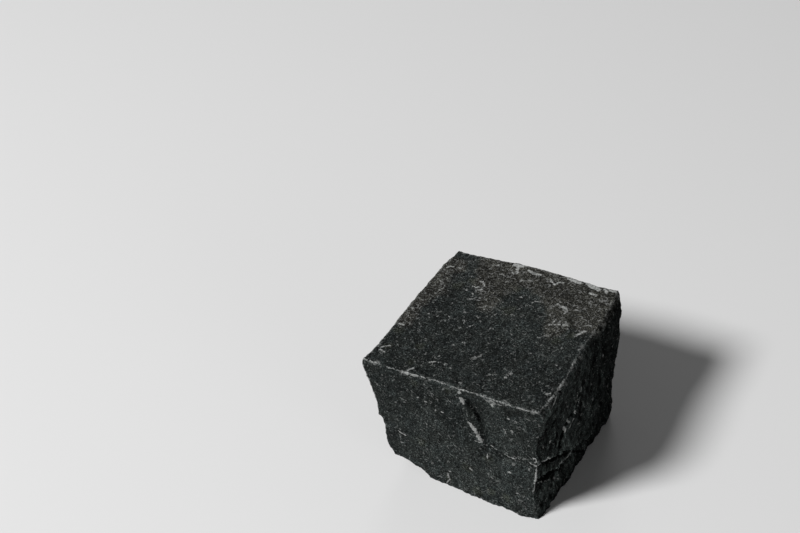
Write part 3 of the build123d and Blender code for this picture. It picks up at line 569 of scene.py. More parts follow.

# ---------------------------------------------------------------------------
# Bruises: pale marks where the crust is crushed. Dark marks: painted shade in cracks, slots and under ledges, and a
# few dark specks on the top. Each is (half width mm, strength, points in the face's plane).
# ---------------------------------------------------------------------------
PALE = {
    TOP: [
        (0.36, 0.9, [(-39.4, 36.4), (-36.4, 35.6), (-33.7, 37.4)]),
        (0.40, 1.0, [(-37.4, 43.2), (-34.4, 44.8), (-31.8, 42.4), (-30.2, 38.2), (-30.6, 34.4), (-34.0, 32.9)]),
        (0.32, 0.7, [(14.2, 35.2), (15.2, 38.4), (20.0, 39.3)]),
        (0.32, 0.6, [(11.5, 29.9), (14.9, 32.0)]),
        (0.42, 1.0, [(14.5, 69.8), (18.2, 66.6), (21.4, 64.6), (22.7, 68.4), (26.8, 69.3)]),
        ([0.8, 1.1, 0.7], 1.1, [(-21.4, 75.2), (-17.0, 76.0), (-12.3, 76.2)]),
        (0.60, 1.0, [(-16.1, 74.2), (-15.2, 70.0), (-13.7, 66.0)]),
        ([0.5, 0.8, 0.5], 0.9, [(-6.8, 72.9), (0.3, 70.9), (6.1, 71.6)]),
        ([0.5, 0.9, 0.6], 1.0, [(27.2, 76.0), (33.0, 75.0), (39.5, 74.2)]),
        ([0.6, 1.2, 0.9], 1.1, [(43.8, 75.6), (53.0, 73.6), (56.9, 72.0)]),
        (0.60, 1.1, [(60.0, 75.0), (62.0, 73.0), (63.7, 70.7)]),
        (0.50, 1.0, [(64.4, 74.6), (70.2, 75.2)]),
        ([0.5, 0.7, 0.4], 0.8, [(32.9, 42.3), (39.9, 40.0), (43.4, 35.1)]),
        (0.55, 0.9, [(61.4, 10.9), (64.5, 17.0), (67.2, 21.0)]),
        (0.36, 0.7, [(-56.5, -10.2), (-54.6, -9.3)]),
        (0.36, 0.6, [(-45.7, 16.4), (-44.0, 17.2)]),
        (0.44, 0.9, [(-42.9, 28.8), (-41.3, 29.8)]),
        (0.36, 0.7, [(-35.5, 28.2), (-34.0, 26.1)]),
        (0.32, 0.6, [(-34.8, 18.8), (-32.2, 20.9), (-29.0, 21.6), (-25.3, 21.5)]),
        (0.36, 0.8, [(-19.4, 16.3), (-18.1, 17.0)]),
        (0.40, 1.0, [(-17.7, 12.8), (-13.6, 14.6)]),
        (0.38, 0.9, [(-25.8, -5.8), (-24.0, -9.5)]),
        (0.36, 0.7, [(-19.6, -13.1), (-18.4, -10.9), (-16.9, -8.9)]),
        (0.50, 1.0, [(-14.4, -31.1), (-12.9, -30.6)]),
        (0.34, 0.8, [(-28.2, -61.9), (-24.4, -59.3), (-18.8, -58.2)]),
        (0.44, 0.8, [(-15.3, -59.1), (-13.9, -58.6)]),
        (0.36, 0.7, [(23.4, -55.0), (25.7, -53.8)]),
        (0.36, 0.6, [(28.5, -45.2), (30.0, -44.9)]),
        (0.38, 0.7, [(36.2, -1.5), (37.7, -1.0)]),
        (0.36, 0.6, [(37.8, -21.4), (39.2, -20.9)]),
        (0.36, 0.7, [(53.4, -11.3), (54.8, -11.0)]),
        (0.36, 0.7, [(33.0, 27.6), (34.7, 26.3)]),
        (0.32, 0.5, [(-1.1, 12.0), (2.6, 15.3), (8.3, 16.2)]),
        (0.42, 0.7, [(-15.1, 66.2), (-13.4, 66.4)]),
        (0.42, 0.7, [(2.6, 69.3), (4.3, 69.7)]),
        (0.66, 1.1, [(50.8, 65.3), (54.0, 64.8), (57.4, 64.3)]),
        (0.42, 0.7, [(63.3, 60.3), (65.0, 60.6)]),
        (0.36, 0.7, [(62.8, 25.4), (66.0, 27.7), (69.5, 27.9)]),
        (0.36, 0.6, [(61.9, 18.4), (63.4, 18.7)]),
        (0.42, 0.7, [(34.0, 45.4), (35.8, 45.7)]),
        (0.34, 0.8, [(36.9, 38.8), (38.3, 41.5), (42.0, 40.3), (44.3, 35.6), (42.5, 32.0)]),
        (0.36, 0.8, [(40.0, 23.9), (39.9, 21.7), (39.3, 19.4)]),
        (0.38, 0.9, [(37.5, 15.6), (43.8, 19.2), (51.6, 21.5)]),
        (0.36, 0.7, [(-19.9, 67.9), (-17.7, 65.8), (-15.1, 63.9)]),
        (0.42, 0.7, [(-35.4, 19.6), (-33.9, 19.9)]),
        (0.32, 0.6, [(-67.2, 31.8), (-63.2, 30.4), (-60.8, 28.4), (-60.2, 23.5), (-63.2, 19.1)]),
        (0.34, 0.8, [(-70.4, 49.3), (-69.3, 51.7), (-67.7, 53.1), (-65.4, 52.6)]),
        (0.42, 0.7, [(-57.0, 64.8), (-55.5, 65.0)]),
        (0.42, 0.7, [(-36.8, 62.8), (-35.3, 63.1)]),
        (0.46, 0.8, [(-32.8, 69.3), (-31.3, 69.6)]),
        (0.42, 0.7, [(2.0, 38.5), (3.5, 38.8)]),
        (0.36, 0.6, [(-46.2, 47.2), (-44.7, 47.5)]),
        (0.36, 0.8, [(-72.0, -30.4), (-69.8, -29.8), (-66.6, -30.2)]),
        (0.36, 0.7, [(-25.4, -15.4), (-23.9, -14.9)]),
        (0.36, 0.6, [(-39.4, -6.5), (-37.9, -6.2)]),
        (0.42, 0.9, [(-70.0, -63.6), (-67.4, -64.5), (-64.7, -64.9)]),
        (0.32, 0.8, [(-70.3, -61.2), (-67.6, -58.5), (-64.5, -56.5)]),
        (0.36, 0.6, [(-63.2, -50.2), (-61.6, -49.9)]),
        (0.36, 0.6, [(-43.8, -38.0), (-42.3, -37.7)]),
        (0.42, 0.7, [(-24.6, -52.0), (-23.0, -51.7)]),
        (0.42, 0.7, [(-10.0, -61.0), (-8.5, -60.7)]),
        (0.36, 0.8, [(68.9, -57.4), (71.8, -56.0)]),
        (0.50, 0.9, [(32.8, -53.7), (34.7, -53.1)]),
        (0.36, 0.7, [(61.8, -25.0), (63.5, -24.7)]),
        (0.36, 0.6, [(43.0, -54.1), (44.4, -53.8)]),
        (0.36, 0.8, [(-38.2, -76.6), (-36.5, -74.0), (-35.1, -71.4)]),
    ],
    FRONT: [
        (1.15, 1.3, [(6.9, 115.6), (8.7, 115.8)]),
        ([0.8, 1.25, 0.8], 1.4, [(7.8, 110.2), (8.7, 107.2), (9.9, 103.8)]),
        ([0.3, 0.8, 1.15, 0.75, 0.5, 1.0, 0.8, 0.3], [0.7, 1.2, 1.3, 1.0, 0.7, 1.3, 1.0, 0.6], [(12.6, 86.2), (14.6, 84.2), (16.2, 81.7), (17.8, 78.9), (19.0, 76.2), (20.4, 73.0), (21.7, 70.4), (23.2, 67.6)]),
        (0.36, 0.9, [(17.0, 67.4), (19.5, 67.7), (22.0, 67.7)]),
        (0.26, 0.30, [(10.9, 99.0), (11.6, 94.6), (12.2, 90.0)]),
        (0.38, 0.9, [(26.8, 56.2), (26.2, 50.6)]),
        (0.36, 0.7, [(-30.6, 95.6), (-28.9, 96.0)]),
        (0.54, 1.0, [(-24.2, 94.0), (-22.2, 94.5)]),
        (0.36, 0.7, [(-14.8, 89.6), (-15.1, 86.9)]),
        (0.54, 1.0, [(-10.5, 87.5), (-8.5, 88.0)]),
        (0.28, 0.5, [(-3.2, 83.4), (1.2, 85.4)]),
        (0.44, 1.0, [(-54.0, 46.3), (-50.8, 44.5), (-48.0, 43.2)]),
        (0.48, 0.9, [(-53.9, 32.3), (-52.2, 32.8)]),
        (0.28, 0.5, [(-25.1, 68.8), (-25.9, 63.0)]),
        (0.36, 0.7, [(-44.1, 84.9), (-42.4, 85.4)]),
        (0.36, 0.6, [(-21.1, 30.6), (-19.3, 31.1)]),
        (0.60, 1.2, [(64.5, 62.4), (66.6, 61.2), (68.2, 59.2)]),
        (0.38, 0.9, [(30.0, 65.6), (32.0, 65.2)]),
        (0.38, 0.9, [(32.9, 63.6), (34.9, 63.1)]),
        ([0.26, 0.38, 0.56, 0.44], [0.7, 0.9, 1.0, 0.8], [(41.0, 61.1), (44.4, 60.5), (47.3, 60.1), (51.2, 60.6)]),
        (0.54, 1.0, [(44.4, 44.4), (46.4, 44.9)]),
        (0.48, 0.9, [(-10.3, 19.2), (-8.3, 19.8)]),
        (0.78, 0.8, [(-11.5, 15.4), (-12.1, 10.1)]),
        (0.38, 0.9, [(-10.9, 8.5), (-14.2, 3.6)]),
        (0.72, 0.7, [(9.4, 32.7), (12.2, 32.0)]),
        (0.32, 0.8, [(50.7, 24.0), (52.3, 24.1)]),
        (0.78, 0.4, [(-21.8, 29.9), (-18.1, 30.4)]),
        (0.48, 0.8, [(45.5, 100.6), (47.1, 101.0)]),
        (0.62, 0.6, [(47.3, 89.2), (49.4, 89.6), (48.7, 86.8)]),
        (0.42, 0.6, [(41.1, 88.3), (42.8, 87.1), (43.1, 83.2)]),
        (0.32, 0.5, [(61.8, 108.2), (65.6, 107.2), (69.5, 109.4)]),
        (0.42, 0.5, [(68.9, 91.3), (70.4, 91.5)]),
        (0.56, 1.0, [(66.6, 69.0), (68.4, 69.1)]),
        (0.36, 0.8, [(68.9, 68.3), (69.0, 66.3), (67.5, 64.7)]),
        (0.36, 0.6, [(62.9, 68.2), (64.3, 67.7)]),
        ([0.42, 0.62, 0.56], 1.0, [(63.3, 62.6), (66.4, 61.8), (69.4, 61.2)]),
        (0.34, 0.6, [(-62.0, 104.0), (-60.4, 101.2)]),
        ([0.6, 1.0, 0.8], [0.6, 0.7, 0.6], [(28.4, 117.0), (31.0, 114.6), (32.4, 112.0)]),
        ([0.7, 1.0, 0.9, 1.0], [0.6, 0.7, 0.8, 1.2], [(37.2, 115.6), (35.6, 113.2), (34.0, 111.0), (33.4, 109.2)]),
        (0.9, 0.9, [(33.0, 116.8), (36.6, 116.4)]),
        (0.6, 0.8, [(39.6, 115.8), (42.8, 115.8)]),
        (0.34, 0.5, [(-2.4, 55.1), (-0.6, 54.0), (1.0, 54.3)]),
        (0.34, 0.5, [(54.2, 33.0), (56.1, 32.0)]),
    ],
    RIGHT: [
        ([0.34, 0.5, 0.76, 0.5, 0.36], [0.8, 0.6, 1.0, 0.8, 0.6], [(-75.8, 62.4), (-72.6, 63.6), (-67.6, 60.7), (-62.6, 57.9), (-55.0, 51.4)]),
        (0.40, 0.5, [(-52.0, 48.6), (-46.6, 43.7), (-38.4, 39.8)]),
        (0.66, 1.6, [(-29.2, 69.6), (-28.9, 67.6)]),
        (0.6, 0.7, [(-27.6, 63.4), (-29.0, 61.4)]),
        ([0.5, 0.84, 0.66], 1.5, [(-32.8, 64.8), (-33.0, 62.6), (-33.4, 60.6)]),
        (0.5, 0.9, [(-20.4, 72.6), (-21.2, 70.0)]),
        (0.5, 0.6, [(-21.8, 66.0), (-24.6, 64.4), (-27.1, 63.7)]),
        (0.36, 0.5, [(-15.0, 87.5), (-14.6, 80.0), (-14.1, 72.7)]),
        (0.6, 0.8, [(-17.9, 80.8), (-16.7, 78.8)]),
        (0.8, 0.7, [(-67.0, 74.0), (-65.1, 71.0)]),
        (0.5, 0.7, [(-55.5, 70.0), (-56.9, 67.8)]),
        (0.9, 0.5, [(-39.3, 19.3), (-38.4, 15.8)]),
        (0.40, 0.45, [(-46.0, 19.7), (-39.0, 12.9)]),
        (0.40, 0.4, [(-68.2, 33.0), (-60.7, 28.2), (-51.4, 22.9)]),
        (0.50, 0.6, [(-55.6, 116.9), (-61.4, 114.6), (-66.8, 112.5)]),
        (0.45, 0.55, [(-33.0, 22.9), (-26.0, 23.6), (-19.0, 25.0)]),
        (0.7, 0.5, [(30.0, 92.4), (31.2, 88.0)]),
        (0.7, 0.6, [(52.4, 78.0), (50.8, 72.0)]),
        (0.8, 0.6, [(63.0, 99.4), (64.6, 96.6)]),
        (0.5, 0.5, [(17.6, 55.0), (16.8, 48.0), (15.6, 41.0)]),
    ],
    BACK: [
        ([0.4, 0.7, 0.6, 0.4], [0.6, 1.0, 0.9, 0.6], [(50.4, 84.0), (50.9, 72.0), (45.0, 57.6), (38.0, 52.4)]),
        (0.34, 0.6, [(-37.0, 71.0), (-28.0, 69.0), (-21.0, 67.0)]),
        (0.60, 0.9, [(-50.5, 67.1), (-47.0, 67.6)]),
        (0.42, 0.8, [(-13.4, 74.0), (-14.6, 66.8)]),
        (0.70, 0.9, [(12.0, 33.0), (14.4, 30.6)]),
        (0.40, 0.8, [(60.0, 44.0), (57.2, 40.6), (58.0, 37.4)]),
        (0.36, 0.7, [(-52.0, 96.0), (-48.6, 93.4)]),
        (0.36, 0.7, [(30.0, 99.0), (26.6, 97.4), (25.4, 94.0)]),
        (0.50, 0.8, [(-30.0, 22.4), (-26.0, 23.8)]),
        (0.34, 0.6, [(0.0, 92.0), (1.8, 86.6)]),
        (0.44, 0.9, [(40.0, 78.0), (41.8, 77.2)]),
        (0.44, 0.9, [(-58.0, 34.0), (-56.2, 33.2)]),
    ],
    LEFT: [
        ([0.4, 0.7, 0.8, 0.5], [0.6, 1.0, 1.0, 0.6], [(-11.2, 58.0), (-14.8, 77.0), (-10.6, 88.0), (-4.6, 98.0)]),
        (0.56, 0.9, [(-52.0, 61.0), (-46.0, 62.6)]),
        (0.34, 0.6, [(-40.0, 63.2), (-31.0, 58.4)]),
        (0.60, 0.8, [(47.0, 58.6), (48.6, 68.0)]),
        (0.42, 0.8, [(30.0, 88.0), (33.4, 90.2)]),
        (0.36, 0.7, [(8.0, 44.0), (12.4, 42.2), (14.0, 39.0)]),
        (0.36, 0.7, [(-60.0, 92.0), (-57.4, 96.0)]),
        (0.50, 0.9, [(22.0, 101.0), (24.2, 101.8)]),
        (0.50, 0.8, [(-34.0, 40.0), (-32.0, 39.0)]),
        (0.36, 0.7, [(60.0, 78.0), (58.4, 72.6)]),
        (0.34, 0.6, [(-20.0, 26.0), (-12.0, 27.4)]),
        (0.44, 0.8, [(36.0, 30.0), (38.0, 29.0)]),
    ],
}
DARK_SPECKS_AND_SHADE_MARKS = {
    TOP: [(0.5, 0.7, [(-16.0, 33.0), (-14.6, 33.4)]), (0.4, 0.5, [(30.5, 52.0), (32.4, 53.4)]), (0.4, 0.5, [(-48.4, -2.0), (-46.8, -1.4)])],
    FRONT: [
        (0.60, 1.0, [(22.0, 62.3), (24.9, 60.5)]),
        (0.40, 0.9, [(27.9, 56.4), (27.4, 51.0)]),
        (0.50, 0.8, [(31.3, 68.0), (33.3, 66.1)]),
        (0.50, 0.9, [(47.3, 42.1), (49.4, 41.0)]),
        (0.38, 0.6, [(45.6, 58.8), (48.1, 58.2), (51.2, 59.2)]),
        (0.36, 0.7, [(63.6, 60.9), (66.9, 60.0), (69.4, 59.6)]),
        ([0.4, 0.7, 0.9, 0.7], [0.3, 0.5, 0.75, 0.5], [(12.5, 103.5), (16.4, 96.6), (19.2, 90.6), (21.0, 84.0)]),
        ([1.0, 1.0, 0.5, 0.4, 0.4], [1.3, 1.3, 0.9, 0.8, 0.7], [(72.4, 89.6), (71.3, 86.0), (70.5, 82.4), (69.8, 78.4), (69.8, 74.0)]),
    ],
    RIGHT: [
        ([0.8, 0.7, 0.6, 0.7, 0.7], 1.1, [(-76.4, 87.0), (-77.0, 80.0), (-76.6, 73.4), (-74.8, 69.4), (-73.6, 65.6)]),
        ([2.0, 2.2, 1.6, 1.2, 0.7], 1.2, [(-60.5, 30.4), (-56.5, 28.4), (-51.5, 27.3), (-45.0, 24.7), (-37.7, 22.6)]),
        (0.9, 1.0, [(-64.4, 37.6), (-64.2, 33.4)]),
        (1.0, 1.0, [(-73.5, 33.3), (-69.4, 30.4), (-65.5, 27.3)]),
        ([0.9, 1.4, 1.3], 1.2, [(-11.8, 75.0), (-10.9, 71.4), (-11.3, 68.4)]),
        ([1.4, 1.9, 1.8, 1.2], 1.3, [(-13.0, 67.6), (-13.0, 64.1), (-12.8, 61.6), (-12.2, 59.2)]),
        (1.0, 1.0, [(10.3, 69.2), (11.1, 65.4)]),
        (0.9, 1.0, [(-8.3, 80.8), (-8.5, 78.2)]),
        (0.8, 0.8, [(2.2, 74.0), (2.6, 69.4)]),
        (0.8, 0.8, [(22.6, 54.0), (23.0, 48.6)]),
        ([0.8, 1.2, 1.2, 0.8], 1.1, [(-46.3, 74.6), (-49.4, 70.8), (-52.6, 67.0), (-53.8, 61.8)]),
        ([0.7, 0.9, 0.9, 0.7, 0.6, 0.5], 0.8, [(-34.9, 61.9), (-36.6, 60.2), (-38.0, 57.6), (-39.2, 54.6), (-40.2, 52.0), (-41.2, 49.0)]),
        ([0.9, 1.8, 2.2, 2.0, 1.4], 1.4, [(-65.8, 97.4), (-68.0, 93.2), (-70.6, 89.4), (-72.8, 86.4), (-75.0, 83.0)]),
        (0.9, 1.0, [(-52.2, 91.0), (-53.9, 87.4), (-54.6, 83.4)]),
        (0.9, 0.9, [(-48.4, 118.0), (-50.6, 115.0), (-53.1, 111.5)]),
        ([0.9, 1.5, 1.4, 0.9], 1.2, [(-38.4, 35.6), (-31.0, 29.8), (-25.8, 28.2), (-20.8, 28.6)]),
        ([0.7, 1.2, 0.8], 1.0, [(-11.0, 17.8), (-5.0, 13.2), (1.0, 9.0)]),
        (0.55, 0.8, [(9.0, 96.0), (8.8, 89.0)]),
        (0.45, 0.7, [(9.4, 103.0), (9.0, 98.0)]),
        ([0.8, 1.0, 0.8], 1.0, [(-60.0, 47.0), (-52.1, 41.2), (-43.0, 36.6)]),
        (0.50, 0.6, [(-30.0, 19.4), (-22.0, 20.8), (-12.0, 20.4)]),
        (0.40, 0.6, [(-50.0, 88.0), (-47.0, 76.0), (-48.0, 66.0)]),
    ],
    BACK: [(0.7, 0.8, [(44.0, 78.0), (45.4, 66.0), (40.0, 57.0)]), (0.6, 0.7, [(-46.0, 63.4), (-34.0, 65.2)]), (0.6, 0.6, [(8.0, 15.4), (26.0, 15.8)])],
    LEFT: [(0.7, 0.8, [(-7.0, 62.0), (-9.6, 76.0), (-6.4, 88.0)]), (0.6, 0.7, [(-50.0, 57.4), (-38.0, 58.8)]), (0.6, 0.6, [(-20.0, 21.4), (-6.0, 23.6)])],
}
# Wide soft changes of brightness, in stops: (radius mm, stops, points). On the top and the front they are mostly the
# stone's own mottling and bruising; on the right side many are painted shade, such as a painted cast shadow over the
# upper back and the shade in the notch behind the front arris, and some are painted highlight on ridges and facets.
TONE_AND_SHADE_PATCHES = {
    TOP: [
        (7.0, 0.50, [(-56.0, 69.0), (-45.0, 35.0), (-36.0, 1.0)]),
        (6.0, 0.60, [(-59.0, -10.0), (-50.0, -24.0)]),
        (5.0, 0.45, [(-59.0, -34.0), (-54.0, -36.0)]),
        (7.0, 0.45, [(-50.0, -62.0), (-47.5, -55.0), (-40.0, -45.0)]),
        (5.5, 0.55, [(-1.0, 45.0), (14.5, 44.0)]),
        (5.0, 0.55, [(14.5, 31.0), (23.0, 37.0), (28.0, 30.0)]),
        (4.5, 0.60, [(28.5, -9.5), (31.5, -2.0)]),
        (4.5, 0.45, [(44.0, -5.5), (50.0, -27.0)]),
        (5.0, 0.40, [(31.0, -35.5), (38.0, -37.5)]),
        (7.0, -0.35, [(-17.0, 2.5), (-2.0, -0.5)]),
        (7.0, -0.35, [(3.0, -17.0), (15.5, -22.0)]),
        (4.5, -0.45, [(-1.5, -43.0), (4.5, -37.5)]),
        (5.0, -0.40, [(8.5, -56.0), (11.0, -64.0)]),
        (6.0, -0.45, [(46.0, 48.5), (63.5, 57.0)]),
        (6.0, -0.45, [(55.5, 27.0), (64.0, 16.5), (70.0, 2.5)]),
        (4.5, -0.40, [(41.0, 39.5), (35.0, 40.0)]),
        (2.8, -1.3, [(-1.0, -72.0), (4.0, -72.8)]), (2.6, 0.9, [(62.0, -32.0), (63.4, -30.6)]), (3.0, 0.35, [(37.1, 19.6), (43.1, 19.6)]), (3.0, 0.4, [(-17.8, 65.7), (-13.2, 65.6)]), (3.4, 0.45, [(-20.0, 72.5), (-4.0, 73.5), (14.0, 73.0)]),
    ],
    FRONT: [(5.0, 0.45, [(-46.0, 24.5), (-54.5, 21.5)]), (2.0, -1.0, [(47.6, 54.4), (48.8, 54.0)]), (3.0, 0.45, [(12.4, 116.0), (13.4, 111.0)]), (3.4, 0.15, [(15.7, 99.5), (17.8, 92.0)]), (3.0, 0.35, [(19.2, 84.0), (20.2, 79.0)]), (2.2, -0.5, [(12.2, 89.5), (13.2, 86.5)]), (3.6, 0.85, [(30.6, 115.6), (35.0, 113.8), (33.4, 110.8)])],
    RIGHT: [
        (2.2, -1.0, [(-70.5, 57.5), (-63.0, 54.0), (-54.0, 46.4), (-46.6, 40.0), (-36.0, 35.0), (-26.8, 31.8)]),
        (2.4, -0.8, [(-7.3, 14.2), (3.0, 8.4)]),
        (2.0, 0.55, [(-36.6, 22.6), (-28.5, 23.6), (-21.4, 25.2), (-12.1, 24.8), (-6.9, 24.4)]),
        (4.0, 0.45, [(-34.4, 54.4), (-31.5, 48.4), (-26.1, 40.3)]),
        (4.6, -0.5, [(9.2, 9.3), (-5.8, 5.1), (-23.1, 4.2), (-38.8, 3.8)]),
        (4.4, 0.35, [(62.0, 115.5), (37.1, 114.0), (25.5, 113.0), (14.3, 111.2), (4.4, 110.0)]),
        (3.0, -0.6, [(69.2, 110.6), (64.1, 107.3), (50.0, 108.3)]),
        (3.0, -0.8, [(-69.0, 82.0), (-64.0, 86.5), (-58.0, 92.0)]),
        (2.6, -0.4, [(-34.0, 32.6), (-24.0, 27.4)]),
        (1.7, -1.2, [(-12.6, 59.0), (-13.0, 65.0), (-12.0, 70.0), (-11.6, 75.0)]),
        (3.0, 0.45, [(-7.2, 74.0), (-6.4, 66.0), (-6.4, 58.0)]),
        (4.2, -1.7, [(-73.0, 95.0), (-71.0, 90.5), (-67.5, 85.5), (-63.5, 80.5)]),
        (2.6, -1.5, [(-75.2, 93.0), (-75.6, 89.0), (-76.6, 86.0)]),
        (2.0, 0.9, [(-70.5, 98.0), (-66.5, 95.4)]),
        (7.0, 1.0, [(8.0, 46.0), (16.5, 32.0), (22.5, 37.0)]),
        (4.0, -0.9, [(16.0, 22.0), (6.5, 20.5)]),
        (5.0, 0.7, [(-1.0, 14.0), (-12.5, 13.5)]),
        (5.0, 0.6, [(-30.0, 15.5), (-42.5, 11.0), (-54.0, 14.0)]),
        (7.0, -1.3, [(19.5, 92.0), (29.0, 92.5), (37.0, 93.0), (38.0, 84.0), (42.5, 75.0)]),
        (8.0, -1.3, [(37.0, 116.0), (52.0, 113.5), (62.0, 110.0), (60.0, 97.0)]),
        (5.0, -0.6, [(11.5, 94.5), (6.5, 91.5)]),
        (4.5, 0.7, [(17.0, 83.0), (21.0, 79.0)]),
        (4.5, 0.7, [(35.5, 57.5), (32.0, 47.0)]),
        (4.5, 0.6, [(0.5, 78.0), (2.0, 80.0)]),
        (3.0, 0.6, [(9.0, 117.0), (-0.5, 117.0)]),
        (3.0, 0.6, [(-17.5, 116.5), (-28.5, 117.5)]),
        (3.5, 0.6, [(-42.2, 94.6), (-42.3, 98.5)]),
        (4.0, 0.6, [(-36.7, 59.0), (-30.0, 52.0), (-25.4, 48.5)]),
        (4.0, 0.6, [(-10.0, 38.0), (-3.0, 32.5)]),
        (2.6, -0.7, [(-66.0, 34.6), (-56.0, 30.4)]),
        (4.0, 0.9, [(0.5, 13.0), (-4.3, 13.7), (-13.5, 15.0)]), (3.6, -1.9, [(30.0, 88.6), (33.0, 88.6)]), (2.4, 0.9, [(-74.4, 81.5), (-73.8, 73.0)]),
        (3.0, 0.8, [(-46.5, 22.6), (-37.0, 22.6)]), (4.0, 0.7, [(-22.0, 46.0), (-19.0, 44.0)]), (4.5, 1.0, [(17.5, 31.6), (20.0, 33.0)]), (4.0, 1.0, [(15.0, 83.5), (18.0, 82.5)]),
    ],
    BACK: [(4.0, -0.6, [(40.0, 70.0), (34.0, 56.0)]), (4.0, 0.4, [(-20.0, 76.0), (-30.0, 80.0)])],
    LEFT: [(4.0, -0.6, [(-4.0, 66.0), (-4.0, 84.0)]), (4.0, 0.4, [(30.0, 58.0), (24.0, 46.0)])],
}

layers = [[], [], []]


def close_to(a, b):
    return a[0] == b[0] and min(np.linalg.norm(np.asarray(p) - np.asarray(q)) for p in a[1] for q in b[1]) < 5.5


drawn = {"pale0": [], "pale1": [], "pale2": [], "dark": []}
for face, marks in PALE.items():
    for width, strength, pts in marks:
        dense = [tuple(np.asarray(pts[m]) * (1 - f) + np.asarray(pts[m + 1]) * f) for m in range(len(pts) - 1) for f in (0.0, 0.25, 0.5, 0.75)] + [pts[-1]]
        here = (face, dense)
        free = [n for n in range(3) if not any(close_to(here, other) for other in layers[n])]
        n = free[0] if free else 2
        layers[n].append(here)
        drawn["pale%d" % n].append((face, width, strength, pts))
for face, marks in DARK_SPECKS_AND_SHADE_MARKS.items():
    for width, strength, pts in marks:
        drawn["dark"].append((face, width, strength, pts))


for n in range(3):
    drawn["pale%d" % n] = [(face, np.atleast_1d(w) * (1.75 if face == TOP else 1.0), g, pts) for face, w, g, pts in drawn["pale%d" % n]]


def ink(marks):
    """For each vertex: signed distance to its nearest mark in half widths, and how strong that mark is there."""
    u, g, nearest = np.full(count, 4.0), np.zeros(count), np.full(count, 1e9)
    for face, width, strength, pts in marks:
        near, d, s, past = from_line(face, pts, 4.0)
        width, strength = np.atleast_1d(width), np.atleast_1d(strength)
        w = np.interp(s, np.linspace(0, 1, len(width)), width) if len(width) > 1 else np.full(len(s), width[0])
        g_here = np.interp(s, np.linspace(0, 1, len(strength)), strength) if len(strength) > 1 else np.full(len(s), strength[0])
        g_here = g_here * step(0.9, 0.1, past) * step(np.maximum(2.2 * w, 1.4) + 0.9, np.maximum(2.2 * w, 1.4), np.abs(d))
        away = np.hypot(d, past) / w
        closer = away < nearest[near]
        at = near[closer]
        nearest[at] = away[closer]
        thin = np.minimum(w, 0.9)
        u[at] = (np.sign(d) * np.clip(np.abs(d) - (w - thin), 0, None) / thin)[closer]
        g[at] = g_here[closer]
    return np.clip(u, -6, 6), g


tone_and_painted_light = shade.copy()
# Painted light: the top and each side get their own brightness offset, the front a gradient lighter towards the base
# and the right, and the right side darker towards the back and along its upper back edge, standing in for how the
# light falls on them.
tone_and_painted_light += np.where(is_top, -0.30 - 0.06 * step(10, -50, x), 0.0)
tone_and_painted_light += np.where(face_back | face_left, -0.45, 0.0)
tone_and_painted_light += np.where(face_front, 0.32 * step(95, 20, z) + 0.12 * step(-60, 30, x) - 0.32, 0.0)
tone_and_painted_light += np.where(face_right, 0.15 - 0.30 * step(-56, -16, y) - 0.9 * step(-16, 30, y) * step(115, 109, z) - 0.30 * step(30, 70, y), 0.0)
# painted shade along the foot of the right side, where it turns under
shaded_foot_z = z + 1.6 * noise(P0, 6.0, 101) + 0.8 * noise(P0, 2.4, 102)
tone_and_painted_light += np.where(face_right, -2.2 * step(3.6, 1.0, shaded_foot_z) * step(-76, -66, y) - 0.8 * step(12, 5, shaded_foot_z) * step(-24, 4, y), 0.0)
for face, marks in TONE_AND_SHADE_PATCHES.items():
    for radius, stops_here, pts in marks:
        near, d, s, past = from_line(face, pts, 2 * radius)
        away = np.hypot(d, past) + 0.35 * radius * noise(P0[near], 1.1 * radius + 1.0, 91)
        tone_and_painted_light[near] += stops_here * step(1.35 * radius, 0.35 * radius, away)

# Top arrises: (place along the side in mm, half width mm, strength) of the broken pale line.
LINE_FRONT = [(-76, 0.46, 1.0), (-68.6, 0.38, 1.0), (-63.2, 0.34, 0.9), (-57.0, 0.26, 0.45), (-52.8, 0.30, 0.6), (-44.1, 0.36, 0.8), (-39.5, 0.5, 0.85), (-37.3, 1.0, 1),
              (-33.5, 0.45, 0.75), (-29.2, 0.75, 0.85), (-25.1, 0.40, 0.85), (-20.8, 0.40, 0.85), (-16.8, 0.34, 0.6), (-8.8, 0.36, 0.75), (-0.2, 0.38, 0.75),
              (4.7, 0.36, 0.7), (9.5, 0.50, 0.95), (13.5, 0.50, 0.95), (16.4, 0.36, 0.7), (22.3, 0.38, 0.75), (27.9, 0.44, 0.85), (35.7, 0.44, 0.8), (41.6, 0.42, 0.7), (49.6, 0.44, 0.8),
              (53.2, 0.34, 0.35), (55.1, 0.55, 1), (62.9, 0.50, 0.9), (66.9, 0.38, 0.7), (70.9, 0.48, 0.9), (72.4, 0.36, 0.3)]
LINE_RIGHT = [(-78, 0.50, 0.5), (-69.7, 0.54, 0.7), (-62.4, 0.72, 0.9), (-56.2, 0.84, 0.95), (-55.2, 0.4, 0.4), (-51.5, 0.42, 0.55), (-42.7, 0.78, 0.9),
              (-34.4, 0.48, 0.7), (-28.2, 0.44, 0.55), (-19.8, 0.72, 0.85), (-16.3, 0.72, 0.85), (-9.9, 0.44, 0.55), (-2.8, 0.44, 0.55), (6.2, 0.40, 0.45),
              (15.9, 0.40, 0.45), (25.4, 0.42, 0.5), (32.2, 0.34, 0.4), (42.4, 0.36, 0.4), (52.5, 0.42, 0.5), (62.4, 0.42, 0.5), (77, 0.42, 0.5)]
